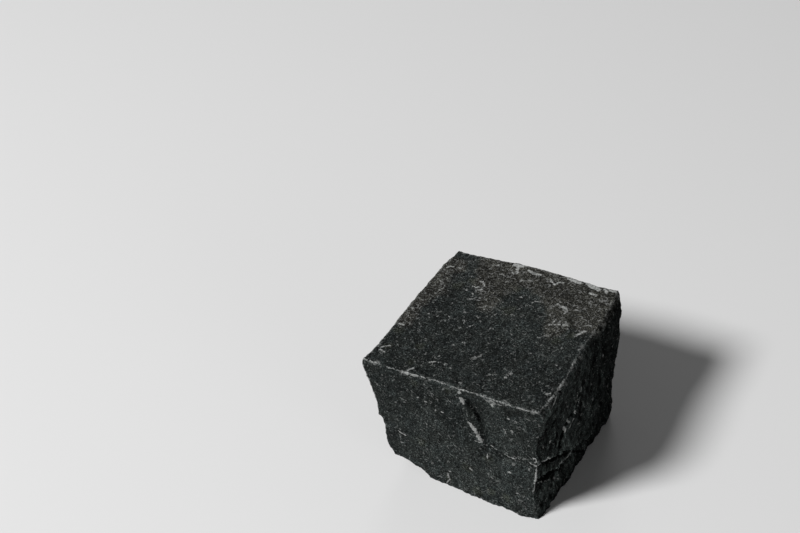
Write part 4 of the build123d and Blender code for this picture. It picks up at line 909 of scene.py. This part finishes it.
LINE_BACK = [(-72, 0.5, 0.8), (-63.7, 0.40, 0.7), (-60, 0.42, 0.8), (-51, 0.42, 0.8), (-41, 0.38, 0.6), (-32, 0.42, 0.6), (-25.8, 0.56, 0.9),
             (-20.7, 1.0, 1), (-6.8, 1.25, 1), (7.6, 0.9, 1), (23.2, 0.65, 0.9), (28.7, 0.9, 1), (38.3, 0.75, 1), (45.3, 0.75, 0.9), (54.4, 0.7, 0.9), (69.3, 0.62, 0.9)]
LINE_LEFT = [(-78, 0.40, 0.7), (-50, 0.36, 0.6), (-35, 0.34, 0.6), (-11, 0.34, 0.75), (5.3, 0.34, 0.6), (33.4, 0.34, 0.6), (60, 0.38, 0.7), (73.5, 0.42, 0.85)]
edge_near = np.zeros(count, int)
side_i = np.where(k_of < 0, 0, k_of)
gs, gt = grid_s[1:-1, 1:-1].ravel(), grid_t[1:-1, 1:-1].ravel()
which = np.argmin(np.stack([gt, 1 - gs, 1 - gt, gs]), 0)
edge_near[is_side] = k_of[is_side]
edge_near[first_top:first_base] = which
edge_d = np.clip(np.where(is_side, -down, np.where(is_top, to_top_arris, 20.0)), -20, 20)
edge_w, edge_g = np.full(count, 0.5), np.zeros(count)
for k, table in enumerate((LINE_FRONT, LINE_RIGHT, LINE_BACK, LINE_LEFT)):
    table = np.array(table)
    here = (edge_near == k) & ~is_base
    where = P0[here, 0] if k in (FRONT, BACK) else P0[here, 1]
    edge_w[here] = np.interp(where, table[:, 0], table[:, 1])
    edge_g[here] = np.interp(where, table[:, 0], table[:, 2])

# Upright arrises: (height mm, half width mm, strength), and the distance to the nearest one round the stone.
UPRIGHTS = [
    [(0, 0.4, 0.3), (20, 0.4, 0.35), (40, 0.4, 0.5), (60, 0.42, 0.7), (72, 0.5, 0.85), (82, 0.8, 1), (92, 0.9, 1), (101, 0.8, 1), (108, 0.5, 0.8), (119, 0.5, 0.8)],
    [(0, 0.4, 0.2), (26, 0.34, 0.25), (29, 0.5, 0.6), (31.5, 0.85, 1), (34, 0.95, 1), (42.4, 0.9, 1), (47.3, 0.8, 1), (51.8, 1.05, 1), (55.6, 0.9, 1), (60.3, 0.8, 1),
     (64, 0.5, 0.5), (68, 0.3, 0.1), (80.6, 0.3, 0.05), (100, 0.3, 0.05), (108, 0.4, 0.35), (119, 0.5, 0.5)],
    [(0, 0.4, 0.3), (24, 0.5, 0.6), (50, 0.4, 0.5), (66, 0.6, 0.9), (84, 0.4, 0.5), (100, 0.5, 0.7), (119, 0.5, 0.7)],
    [(0, 0.4, 0.3), (18, 0.4, 0.4), (34, 0.6, 0.9), (56, 0.4, 0.5), (80, 0.6, 0.9), (96, 0.4, 0.6), (119, 0.5, 0.8)],
]
to_start, to_stop = t_of * 150, (1 - t_of) * 150
up_d = np.clip(np.where(is_side, np.where(t_of < 0.5, to_start, -to_stop), 20.0), -20, 20)
up_near = np.where(t_of < 0.5, side_i, (side_i + 1) % 4)
up_w, up_g = np.full(count, 0.5), np.zeros(count)
for k, table in enumerate(UPRIGHTS):
    table = np.array(table)
    here = is_side & (up_near == k)
    up_w[here] = np.interp(z[here], table[:, 0], table[:, 1])
    up_g[here] = np.interp(z[here], table[:, 0], table[:, 2])

# The paler, browner end of the dressed top, and small greenish patches: outlines in mm on the top.
BROWN = [
    [(-56.0, 90.0), (-51.0, 71.0), (-39.2, 40.3), (-26.5, 22.5), (-21.3, 9.6), (-9.8, 10.9), (-10.9, 33.1), (-6.0, 44.0), (-2.0, 52.0),
     (6.0, 51.0), (15.8, 44.9), (28.4, 31.4), (34.8, 12.0), (43.6, -2.1), (50.0, 4.3), (54.3, 20.6), (65.9, 14.9), (74.0, 20.5), (90.0, 42.3), (90.0, 90.0)],
    [(-90.0, 56.8), (-75.0, 66.0), (-58.7, 64.9), (-54.1, 49.8), (-63.8, 41.6), (-54.7, 21.8), (-59.6, 11.9), (-65.1, -5.8), (-59.3, -25.7),
     (-67.6, -33.1), (-90.0, -30.0)],
]
GREEN = {
    TOP: [(-66.0, -57.8, 4.5), (-42.6, -47.4, 5.0), (-40.0, -67.4, 3.5), (-4.9, 47.2, 5.0), (3.7, 60.8, 5.5), (-71.5, -12.4, 4.0), (-67.9, -36.9, 5.0),
          (51.0, 0.3, 5.5), (59.3, 11.5, 4.5), (0.6, 19.2, 7.0), (-49.9, 31.8, 6.0), (-42.9, 42.7, 4.5)],
    FRONT: [(-30.9, 111.3, 3.5), (-2.5, 113.4, 3.0), (-33.8, 43.4, 5.5), (7.0, 33.2, 6.0), (26.9, 50.5, 5.0), (-11.5, 10.0, 4.0), (15.4, 9.3, 5.5),
            (27.7, 14.7, 5.0), (42.0, 14.8, 4.5)],
    RIGHT: [(-20.0, 52.0, 5.0), (-60.0, 20.0, 5.0), (30.0, 84.0, 6.0)],
    BACK: [(40.0, 40.0, 6.0), (-20.0, 80.0, 7.0), (-50.0, 24.0, 5.0)],
    LEFT: [(-40.0, 80.0, 6.0), (20.0, 40.0, 7.0), (50.0, 90.0, 5.0)],
}


def inside_of(outline, flat):
    """Signed distance in mm to a closed outline, positive inside it."""
    pts = np.asarray(outline, float)
    inside = np.zeros(len(flat), bool)
    dist = np.full(len(flat), 1e9)
    for m in range(len(pts)):
        a, b = pts[m], pts[(m + 1) % len(pts)]
        crosses = (a[1] > flat[:, 1]) != (b[1] > flat[:, 1])
        with np.errstate(divide="ignore", invalid="ignore"):
            at_x = a[0] + (flat[:, 1] - a[1]) * (b[0] - a[0]) / (b[1] - a[1])
        inside ^= crosses & (flat[:, 0] < at_x)
        d = b - a
        h = np.clip(((flat - a) @ d) / (d @ d), 0, 1)
        dist = np.minimum(dist, np.linalg.norm(flat - a - h[:, None] * d, axis=1))
    return np.where(inside, dist, -dist)


shaken = P0[:, :2] + np.stack([2.6 * noise(P0, 9.0, 45) + 1.6 * noise(P0, 3.2, 46), 2.6 * noise(P0, 9.0, 47) + 1.6 * noise(P0, 3.2, 48)], 1)
warm = np.zeros(count)
for outline in BROWN:
    warm = np.maximum(warm, step(-4.0, 3.6, inside_of(outline, shaken)))
warm = np.where(is_top, warm, warm * step(9, 0, down))
green = np.zeros(count)
for face, spots in GREEN.items():
    flat = P0[:, FACE_AXES[face]]
    for a, b, radius in spots:
        away = np.hypot(flat[:, 0] - a, flat[:, 1] - b) + 0.45 * radius * noise(P0, 0.9 * radius, 95)
        green = np.maximum(green, np.where(FACE_MASK[face], step(1.15 * radius, 0.55 * radius, away), 0))
riven = np.where(is_side, blend_sides([0.15, 1.0, 0.55, 0.45], 0.02) * step(0, 4, down), 0.0)

# ---------------------------------------------------------------------------
# Mesh
# ---------------------------------------------------------------------------
mesh = bpy.data.meshes.new("cobblestone_surface")
faces = [tuple(q) for q in side_quads.tolist()] + [tuple(q) for q in top_quads.tolist()] + [tuple(q) for q in base_quads.tolist()] + [tuple(t) for t in rim_tris.tolist()]
mesh.from_pydata((points / 1000).tolist(), [], faces)
mesh.update()
mesh.shade_smooth()

# A flat layout of the faces: four sides, the top and the base, each in its own rectangle of the unit square, in mm of 366.
def in_rect(rect, s, t):
    x0, y0, w, h = rect
    return np.stack([(x0 + w * s) / 366.0, (y0 + h * t) / 366.0], -1)


side_rects = [(2, 2, 155, 119), (2, 123, 155, 119), (2, 244, 155, 119), (160, 157, 155, 119)]
corners_uv = []
i_row, j_col = np.meshgrid(np.arange(DOWN), np.arange(ring), indexing="ij")
i_row, j_col = i_row.ravel(), j_col.ravel()
uv_side = np.zeros((len(i_row), 4, 2))
for k in range(4):
    here = (j_col // ACROSS) == k
    s0, s1 = along[j_col[here] % ACROSS], along[j_col[here] % ACROSS + 1]
    v0, v1 = heights[i_row[here]] / HEIGHT, heights[i_row[here] + 1] / HEIGHT
    uv_side[here] = np.stack([in_rect(side_rects[k], s0, v0), in_rect(side_rects[k], s0, v1), in_rect(side_rects[k], s1, v1), in_rect(side_rects[k], s1, v0)], 1)
corners_uv.append(uv_side.reshape(-1, 2))
top_rect, base_rect = (160, 2, 152, 152), (160, 279, 84, 84)
a, b = np.meshgrid(along, along, indexing="ij")
grid_uv = in_rect(top_rect, a, b)
corners_uv.append(np.stack([grid_uv[:-1, :-1], grid_uv[1:, :-1], grid_uv[1:, 1:], grid_uv[:-1, 1:]], 2).reshape(-1, 2))
a, b = np.meshgrid(half_along, half_along, indexing="ij")
grid_uv = in_rect(base_rect, 1 - (0.012 + 0.976 * a), 0.012 + 0.976 * b)
corners_uv.append(np.stack([grid_uv[:-1, :-1], grid_uv[:-1, 1:], grid_uv[1:, 1:], grid_uv[1:, :-1]], 2).reshape(-1, 2))
inner_uv = np.concatenate([grid_uv[:-1, 0], grid_uv[-1, :-1], grid_uv[1:, -1][::-1], grid_uv[0, 1:][::-1]])
zero, one = np.zeros(ACROSS), np.ones(ACROSS)
outer_s = np.concatenate([along[:-1], one, along[::-1][:-1], zero])
outer_t = np.concatenate([zero, along[:-1], one, along[::-1][:-1]])
outer_uv = in_rect(base_rect, 1 - outer_s, outer_t)
u0, u1, u2 = outer_uv[0::2], outer_uv[1::2], np.roll(outer_uv[0::2], -1, axis=0)
n0, n1 = inner_uv, np.roll(inner_uv, -1, axis=0)
corners_uv.append(np.concatenate([np.stack([u0, n0, u1], 1), np.stack([u1, n0, n1], 1), np.stack([u1, n1, u2], 1)]).reshape(-1, 2))
corners_uv = np.concatenate(corners_uv)
layer = mesh.uv_layers.new(name="OFBake")
assert len(corners_uv) == len(mesh.loops)
layer.data.foreach_set("uv", np.ascontiguousarray(corners_uv, np.float32).ravel())

stone = bpy.data.objects.new("cobblestone_surface", mesh)
bpy.context.scene.collection.objects.link(stone)
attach(stone, "root")
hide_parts("cobblestone")


def attribute(name, values):
    a = mesh.attributes.new(name, "FLOAT", "POINT")
    a.data.foreach_set("value", np.ascontiguousarray(values, np.float32))


# How far each point stands above or below its surroundings, for painted highlight on ridges and painted shade in
# hollows.
edge_a, edge_b = np.concatenate([all_tris[:, [0, 1]], all_tris[:, [1, 2]], all_tris[:, [2, 0]]]).T


def evened(values, times):
    values = np.asarray(values, float)
    near = np.bincount(edge_a, minlength=count) + np.bincount(edge_b, minlength=count)
    for _ in range(times):
        total = np.bincount(edge_a, values[edge_b], count) + np.bincount(edge_b, values[edge_a], count)
        values = 0.5 * values + 0.5 * total / near
    return values


new_normal = normals_of(points)
smooth_points = np.stack([evened(points[:, c], 10) for c in range(3)], 1)
relief = ((points - smooth_points) * new_normal).sum(1)
relief_wide = ((points - np.stack([evened(smooth_points[:, c], 30) for c in range(3)], 1)) * new_normal).sum(1)
attribute("top_part", step(0.0, 1.0, np.where(is_top, 1.0, 0.0)))
attribute("relief", np.clip(relief / 0.5, -1, 1))
attribute("relief_wide", np.clip(relief_wide / 1.5, -1, 1))
attribute("warm", warm)
attribute("riven", riven)
attribute("tone_and_painted_light", tone_and_painted_light)
attribute("green", green)
quiet = np.where(is_side & (up_near == 1) & (np.abs(up_d) < 12), step(60, 66, z) * step(118, 112, z), 0.0)
quiet = np.maximum(quiet, np.where(face_right, step(16, 9, z), 0.0))
attribute("chipped", evened(chipped, 1) * (1 - quiet))
attribute("edge_d", edge_d)
attribute("edge_w", edge_w)
attribute("edge_g", edge_g)
attribute("up_d", up_d)
attribute("up_w", up_w)
attribute("up_g", up_g)
for name, marks in drawn.items():
    u_here, g_here = ink(marks)
    attribute(name + "_u", u_here)
    attribute(name + "_g", g_here)

# ---------------------------------------------------------------------------
# Material
# ---------------------------------------------------------------------------
mat = bpy.data.materials.new("basalt")
mat.use_nodes = True
nt = mat.node_tree
nt.nodes.clear()


def put(socket, value):
    if isinstance(value, bpy.types.NodeSocket):
        nt.links.new(value, socket)
    elif value is not None:
        socket.default_value = value


def maths(operation, a, b=None, c=None, clamp=False):
    nd = nt.nodes.new("ShaderNodeMath")
    nd.operation = operation
    nd.use_clamp = clamp
    for socket, value in zip(nd.inputs, (a, b, c)):
        put(socket, value)
    return nd.outputs[0]


def add(*terms):
    total = terms[0]
    for t in terms[1:]:
        total = maths("ADD", total, t)
    return total


def times(a, b):
    return maths("MULTIPLY", a, b)


def larger(*terms):
    total = terms[0]
    for t in terms[1:]:
        total = maths("MAXIMUM", total, t)
    return total


def ramp(value, low, high, to_low=0.0, to_high=1.0):
    nd = nt.nodes.new("ShaderNodeMapRange")
    nd.interpolation_type = "SMOOTHSTEP"
    put(nd.inputs["Value"], value)
    for name, v in zip(("From Min", "From Max", "To Min", "To Max"), (low, high, to_low, to_high)):
        nd.inputs[name].default_value = v
    return nd.outputs[0]


def read(name):
    nd = nt.nodes.new("ShaderNodeAttribute")
    nd.attribute_name = name
    return nd.outputs["Fac"]


place = nt.nodes.new("ShaderNodeTexCoord").outputs["Object"]


def moved(vector, offset=(0, 0, 0), scale=(1, 1, 1), rotation=(0, 0, 0)):
    nd = nt.nodes.new("ShaderNodeMapping")
    put(nd.inputs["Vector"], vector)
    nd.inputs["Location"].default_value = offset
    nd.inputs["Scale"].default_value = scale
    nd.inputs["Rotation"].default_value = rotation
    return nd.outputs[0]


in_mm = moved(place, scale=(1000, 1000, 1000))


def cloud(size, detail=3.0, rough=0.6, distortion=0.0, at=(0, 0, 0), vector=None, centred=True, colour=False):
    """Noise with features of the given size in mm, centred on 0."""
    nd = nt.nodes.new("ShaderNodeTexNoise")
    nd.noise_dimensions = "3D"
    put(nd.inputs["Vector"], moved(vector if vector is not None else in_mm, offset=at))
    nd.inputs["Scale"].default_value = 1.0 / size
    nd.inputs["Detail"].default_value = detail
    nd.inputs["Roughness"].default_value = rough
    nd.inputs["Distortion"].default_value = distortion
    if colour:
        return nd.outputs["Color"]
    return maths("SUBTRACT", nd.outputs[0], 0.5) if centred else nd.outputs[0]


def cells(size, feature="F1", at=(0, 0, 0), vector=None, randomness=1.0):
    nd = nt.nodes.new("ShaderNodeTexVoronoi")
    nd.feature = feature
    put(nd.inputs["Vector"], moved(vector if vector is not None else in_mm, offset=at))
    nd.inputs["Scale"].default_value = 1.0 / size
    nd.inputs["Randomness"].default_value = randomness
    return nd


def bent(vector, size, amount, at=(0, 0, 0)):
    """The coordinates pushed about by noise."""
    push = nt.nodes.new("ShaderNodeVectorMath")
    push.operation = "SUBTRACT"
    put(push.inputs[0], cloud(size, 2.0, 0.5, at=at, colour=True))
    push.inputs[1].default_value = (0.5, 0.5, 0.5)
    grow = nt.nodes.new("ShaderNodeVectorMath")
    grow.operation = "SCALE"
    put(grow.inputs[0], push.outputs[0])
    grow.inputs["Scale"].default_value = amount
    total = nt.nodes.new("ShaderNodeVectorMath")
    total.operation = "ADD"
    put(total.inputs[0], vector)
    put(total.inputs[1], grow.outputs[0])
    return total.outputs[0]


def mixed(factor, a, b):
    nd = nt.nodes.new("ShaderNodeMix")
    nd.data_type = "RGBA"
    put(nd.inputs["Factor"], factor)
    put([i for i in nd.inputs if i.name == "A" and i.type == "RGBA"][0], a)
    put([i for i in nd.inputs if i.name == "B" and i.type == "RGBA"][0], b)
    return [o for o in nd.outputs if o.type == "RGBA"][0]


def scaled(colour, by):
    nd = nt.nodes.new("ShaderNodeVectorMath")
    nd.operation = "SCALE"
    put(nd.inputs[0], colour)
    put(nd.inputs["Scale"], by)
    return nd.outputs[0]


top_part, relief_in, relief_wide_in = read("top_part"), read("relief"), read("relief_wide")
warm_in, riven_in, tone_and_painted_light_in = read("warm"), read("riven"), read("tone_and_painted_light")

# Brightness, as stops above or below the stone's own grey.
patches = times(cloud(46.0, 2.0, 0.5, at=(40, 0, 0)), 1.6)
blotches = times(cloud(13.0, 3.0, 0.6, 0.4, at=(0, 90, 0)), ramp(top_part, 0.0, 1.0, 2.1, 2.2))
mottle = times(cloud(5.0, 2.0, 0.6, 0.3, at=(11, 0, 50)), ramp(top_part, 0.0, 1.0, 1.2, 1.4))
mottle_fine = times(cloud(2.2, 2.0, 0.6, 0.3, at=(91, 0, 5)), ramp(top_part, 0.0, 1.0, 1.3, 1.5))
grain_noise = cloud(0.95, 1.5, 0.65, at=(5, 5, 5))
grain = times(times(grain_noise, 10.8), ramp(riven_in, 0.0, 1.0, 1.0, 0.73))
crystal = times(maths("SUBTRACT", cells(1.2, at=(3, 8, 1)).outputs["Color"], 0.5), 1.2)
streak = times(times(cloud(3.0, 2.0, 0.6, at=(7, 7, 0), vector=moved(in_mm, scale=(1, 1, 0.36))), 6.5), riven_in)
# painted shade of open hairline cracks in the riven faces
hairline_shade_where = bent(moved(in_mm, scale=(1, 1, 0.5)), 5.0, 3.0, at=(17, 10, 0))
hairline_shade = times(ramp(maths("ABSOLUTE", cloud(7.5, 1.0, 0.5, at=(5, 1, 87), vector=hairline_shade_where)), 0.075, 0.012), ramp(cloud(9.0, 2.0, 0.6, at=(67, 25, 3)), -0.06, 0.06))
hairline_shade = times(hairline_shade, riven_in)
stops = add(patches, blotches, mottle, mottle_fine, grain, crystal, streak)

# Short curved flecks and specks, where the crust has been bruised pale.
crook = bent(in_mm, 6.0, 7.0, at=(70, 0, 20))
curve = ramp(maths("ABSOLUTE", cloud(6.0, 1.0, 0.5, at=(0, 31, 7), vector=crook)), 0.034, 0.008)
gate_noise = add(cloud(3.6, 2.0, 0.6, at=(90, 3, 0)), times(cloud(11.0, 2.0, 0.6, at=(90, 93, 0)), 0.5))
gate = ramp(add(gate_noise, times(warm_in, 0.10)), 0.08, 0.13)
curve_fine = ramp(maths("ABSOLUTE", cloud(3.2, 1.0, 0.5, at=(55, 31, 7), vector=bent(in_mm, 3.0, 3.0, at=(7, 10, 20)))), 0.045, 0.012)
gate_fine = ramp(add(cloud(2.2, 1.0, 0.5, at=(9, 53, 0)), times(warm_in, 0.08)), 0.10, 0.15)
spot = cells(4.6, at=(19, 0, 2), vector=bent(in_mm, 1.8, 2.2, at=(0, 4, 40)))
speck = times(ramp(spot.outputs["Distance"], 0.15, 0.07), ramp(add(spot.outputs["Color"], times(warm_in, 0.12)), 0.72, 0.95))
fleck = times(larger(times(times(curve, gate), 0.42), times(times(curve_fine, gate_fine), 0.26), times(speck, 0.38)), ramp(riven_in, 0.0, 1.0, 1.0, 0.45))

# Marks drawn on the surface: inside where the signed distance, roughened by noise, is under the half width.
ragged = maths("MINIMUM", times(add(times(cloud(1.1, 2.0, 0.6, at=(1, 2, 3)), 4.5), times(cloud(2.6, 2.0, 0.6, at=(71, 2, 3)), 4.5)), ramp(top_part, 0.0, 1.0, 1.0, 0.75)), 0.6)
broken = times(cloud(1.8, 2.0, 0.6, at=(14, 25, 3)), 2.6)


def mark(distance, strength):
    inside = ramp(add(maths("ABSOLUTE", distance), ragged), 1.45, 0.75)
    return times(inside, ramp(add(strength, broken), 0.26, 0.66))


# on the dressed top the marks are crumbs rather than lines
crumbs = maths("SUBTRACT", 1.0, times(times(top_part, ramp(read("edge_d"), 4.0, 14.0, 0.35, 1.0)), ramp(cloud(1.7, 1.0, 0.55, at=(3, 71, 9)), 0.03, -0.09)))
strokes = larger(*[times(mark(read(n + "_u"), read(n + "_g")), maths("MINIMUM", read(n + "_g"), 1.0)) for n in ("pale0", "pale1", "pale2")])
# painted shade in cracks, slots and under ledges, and a few dark specks on the top
dark_specks_and_shade = mark(read("dark_u"), read("dark_g"))
wander = add(times(cloud(6.0, 2.0, 0.6, at=(31, 2, 83)), 2.4), times(cloud(2.0, 1.0, 0.6, at=(3, 22, 83)), 2.2))
gaps = times(cloud(3.4, 2.0, 0.65, at=(17, 25, 63)), 2.6)
edge_line = times(mark(maths("DIVIDE", add(read("edge_d"), 0.10, wander), read("edge_w")), add(read("edge_g"), gaps, -0.08)), read("edge_g"))
up_line = times(mark(maths("DIVIDE", add(read("up_d"), wander), read("up_w")), read("up_g")), read("up_g"))
# and a looser powdering round the arrises
powder = add(times(cloud(2.0, 3.0, 0.65, at=(61, 2, 3)), 1.6), times(cloud(7.0, 2.0, 0.5, at=(33, 0, 0)), 1.4))
dust = times(ramp(add(powder, times(read("edge_g"), 0.35), times(ramp(maths("ABSOLUTE", read("edge_d")), 4.5, 0.2), 0.35)), 0.62, 0.9),
             ramp(maths("ABSOLUTE", read("edge_d")), 5.0, 1.5))
crushed = times(read("chipped"), ramp(add(powder, times(read("edge_g"), 0.3)), 0.1, 0.75))
pale = larger(fleck, times(strokes, crumbs), times(edge_line, 0.95), times(up_line, 0.85), times(dust, 0.4), times(crushed, 0.4))

# painted highlight on ridges and painted shade in hollows from the relief, strongest in the wide hollows of the riven
# faces; the painted light of the brightness attribute, the dark marks and the hairlines is added here too
hollows = maths("MINIMUM", relief_in, 0.0)
stops = add(stops, times(relief_in, 0.40), times(hollows, 0.5), times(relief_wide_in, 0.15), times(times(relief_wide_in, riven_in), 0.55),
            times(warm_in, 0.58), tone_and_painted_light_in, times(dark_specks_and_shade, -3.4), times(hairline_shade, -2.3), times(read("green"), 0.22))
level = times(maths("POWER", 2.0, stops), 0.74)

tint = mixed(ramp(cloud(14.0, 3.0, 0.6, at=(0, 0, 77)), -0.16, 0.16), (0.0222, 0.0262, 0.0258, 1), (0.0236, 0.0266, 0.0252, 1))
tint = mixed(times(read("green"), 0.9), tint, (0.0240, 0.0268, 0.0222, 1))
# the riven faces get a cooler grey, which also stands in for the blue-green colour of shade on the right side
tint = mixed(times(riven_in, 0.9), tint, (0.0218, 0.0262, 0.0248, 1))
tint = mixed(times(warm_in, 0.9), tint, (0.0271, 0.0266, 0.0231, 1))
body_colour = scaled(tint, level)
pale_colour = scaled((0.250, 0.256, 0.250), add(1.0, times(grain_noise, 1.6), times(riven_in, 0.6), times(top_part, 0.3)))
colour = mixed(maths("MINIMUM", pale, 1.0), body_colour, pale_colour)

bsdf = nt.nodes.new("ShaderNodeBsdfPrincipled")
put(bsdf.inputs["Base Color"], colour)
put(bsdf.inputs["Roughness"], ramp(cloud(3.0, 3.0, 0.6, at=(0, 55, 55)), -0.25, 0.25, 0.70, 0.95))
bsdf.inputs["Specular IOR Level"].default_value = 0.02

# Bump for the grain that is finer than the mesh.
height = add(times(grain_noise, 0.75), times(cloud(2.4, 2.0, 0.6, at=(91, 0, 5)), 0.28), times(cells(0.9, at=(3, 8, 1)).outputs["Distance"], 0.18),
             times(pale, 0.06), times(dark_specks_and_shade, -0.5))
bump = nt.nodes.new("ShaderNodeBump")
bump.inputs["Strength"].default_value = 1.0
bump.inputs["Distance"].default_value = 0.0011
put(bump.inputs["Height"], height)
put(bsdf.inputs["Normal"], bump.outputs[0])
out_node = nt.nodes.new("ShaderNodeOutputMaterial")
put(out_node.inputs["Surface"], bsdf.outputs[0])
mesh.materials.append(mat)

# ---------------------------------------------------------------------------
# Floor, light, camera
# ---------------------------------------------------------------------------
floor_mesh = bpy.data.meshes.new("floor")
S = 30.0
floor_mesh.from_pydata([(-S, -S, 0), (S, -S, 0), (S, S, 0), (-S, S, 0)], [], [(0, 1, 2, 3)])
floor = bpy.data.objects.new("floor", floor_mesh)
bpy.context.scene.collection.objects.link(floor)
floor_mat = bpy.data.materials.new("floor")
floor_mat.use_nodes = True
fb = floor_mat.node_tree.nodes["Principled BSDF"]
fb.inputs["Base Color"].default_value = (0.64, 0.64, 0.64, 1)
fb.inputs["Roughness"].default_value = 0.9
fb.inputs["Specular IOR Level"].default_value = 0.1
floor_mesh.materials.append(floor_mat)


def area(name, place, aim, size, power, colour=(1, 1, 1)):
    light = bpy.data.lights.new(name, "AREA")
    light.shape = "DISK"
    light.size = size
    light.energy = power
    light.color = colour
    lamp = bpy.data.objects.new(name, light)
    lamp.location = place
    lamp.rotation_mode = "QUATERNION"
    lamp.rotation_quaternion = (Vector(aim) - Vector(place)).to_track_quat("-Z", "Y")
    bpy.context.scene.collection.objects.link(lamp)
    return lamp


key_way = Vector((-0.40, -0.60, 0.69)).normalized()
area("key", key_way * 6.0 + Vector((0, 0, 0.06)), (0, 0, 0.06), 1.6, 500.0)
area("low_fill", (2.75, -1.1, 0.5), (0, 0, 0.06), 1.6, 12.5)
area("back_fill", (-1.6, 4.2, 1.3), (0, 0, 0.06), 2.0, 40.0)

world = bpy.data.worlds.new("world")
bpy.context.scene.world = world
world.use_nodes = True
world.node_tree.nodes["Background"].inputs["Color"].default_value = (1, 1, 1, 1)
world.node_tree.nodes["Background"].inputs["Strength"].default_value = 0.08

bpy.context.scene.view_settings.view_transform = "Standard"
bpy.context.scene.view_settings.look = "None"

cam_data = bpy.data.cameras.new("camera")
cam_data.sensor_width = 36.0
cam_data.lens = 64.95
cam_data.clip_start, cam_data.clip_end = 0.01, 60.0
cam = bpy.data.objects.new("camera", cam_data)
axes = [(0.8712428593, 0.4847728045, -0.0770143374),
        (-0.2406395286, 0.5585860165, 0.7937721836),
        (0.4278192995, -0.6730356530, 0.6033195774)]
turn = Matrix(axes).transposed().to_4x4()
cam.matrix_world = Matrix.Translation((0.409103, -0.776478, 0.846922)) @ turn
bpy.context.scene.collection.objects.link(cam)
bpy.context.scene.camera = cam

bpy.context.view_layer.update()
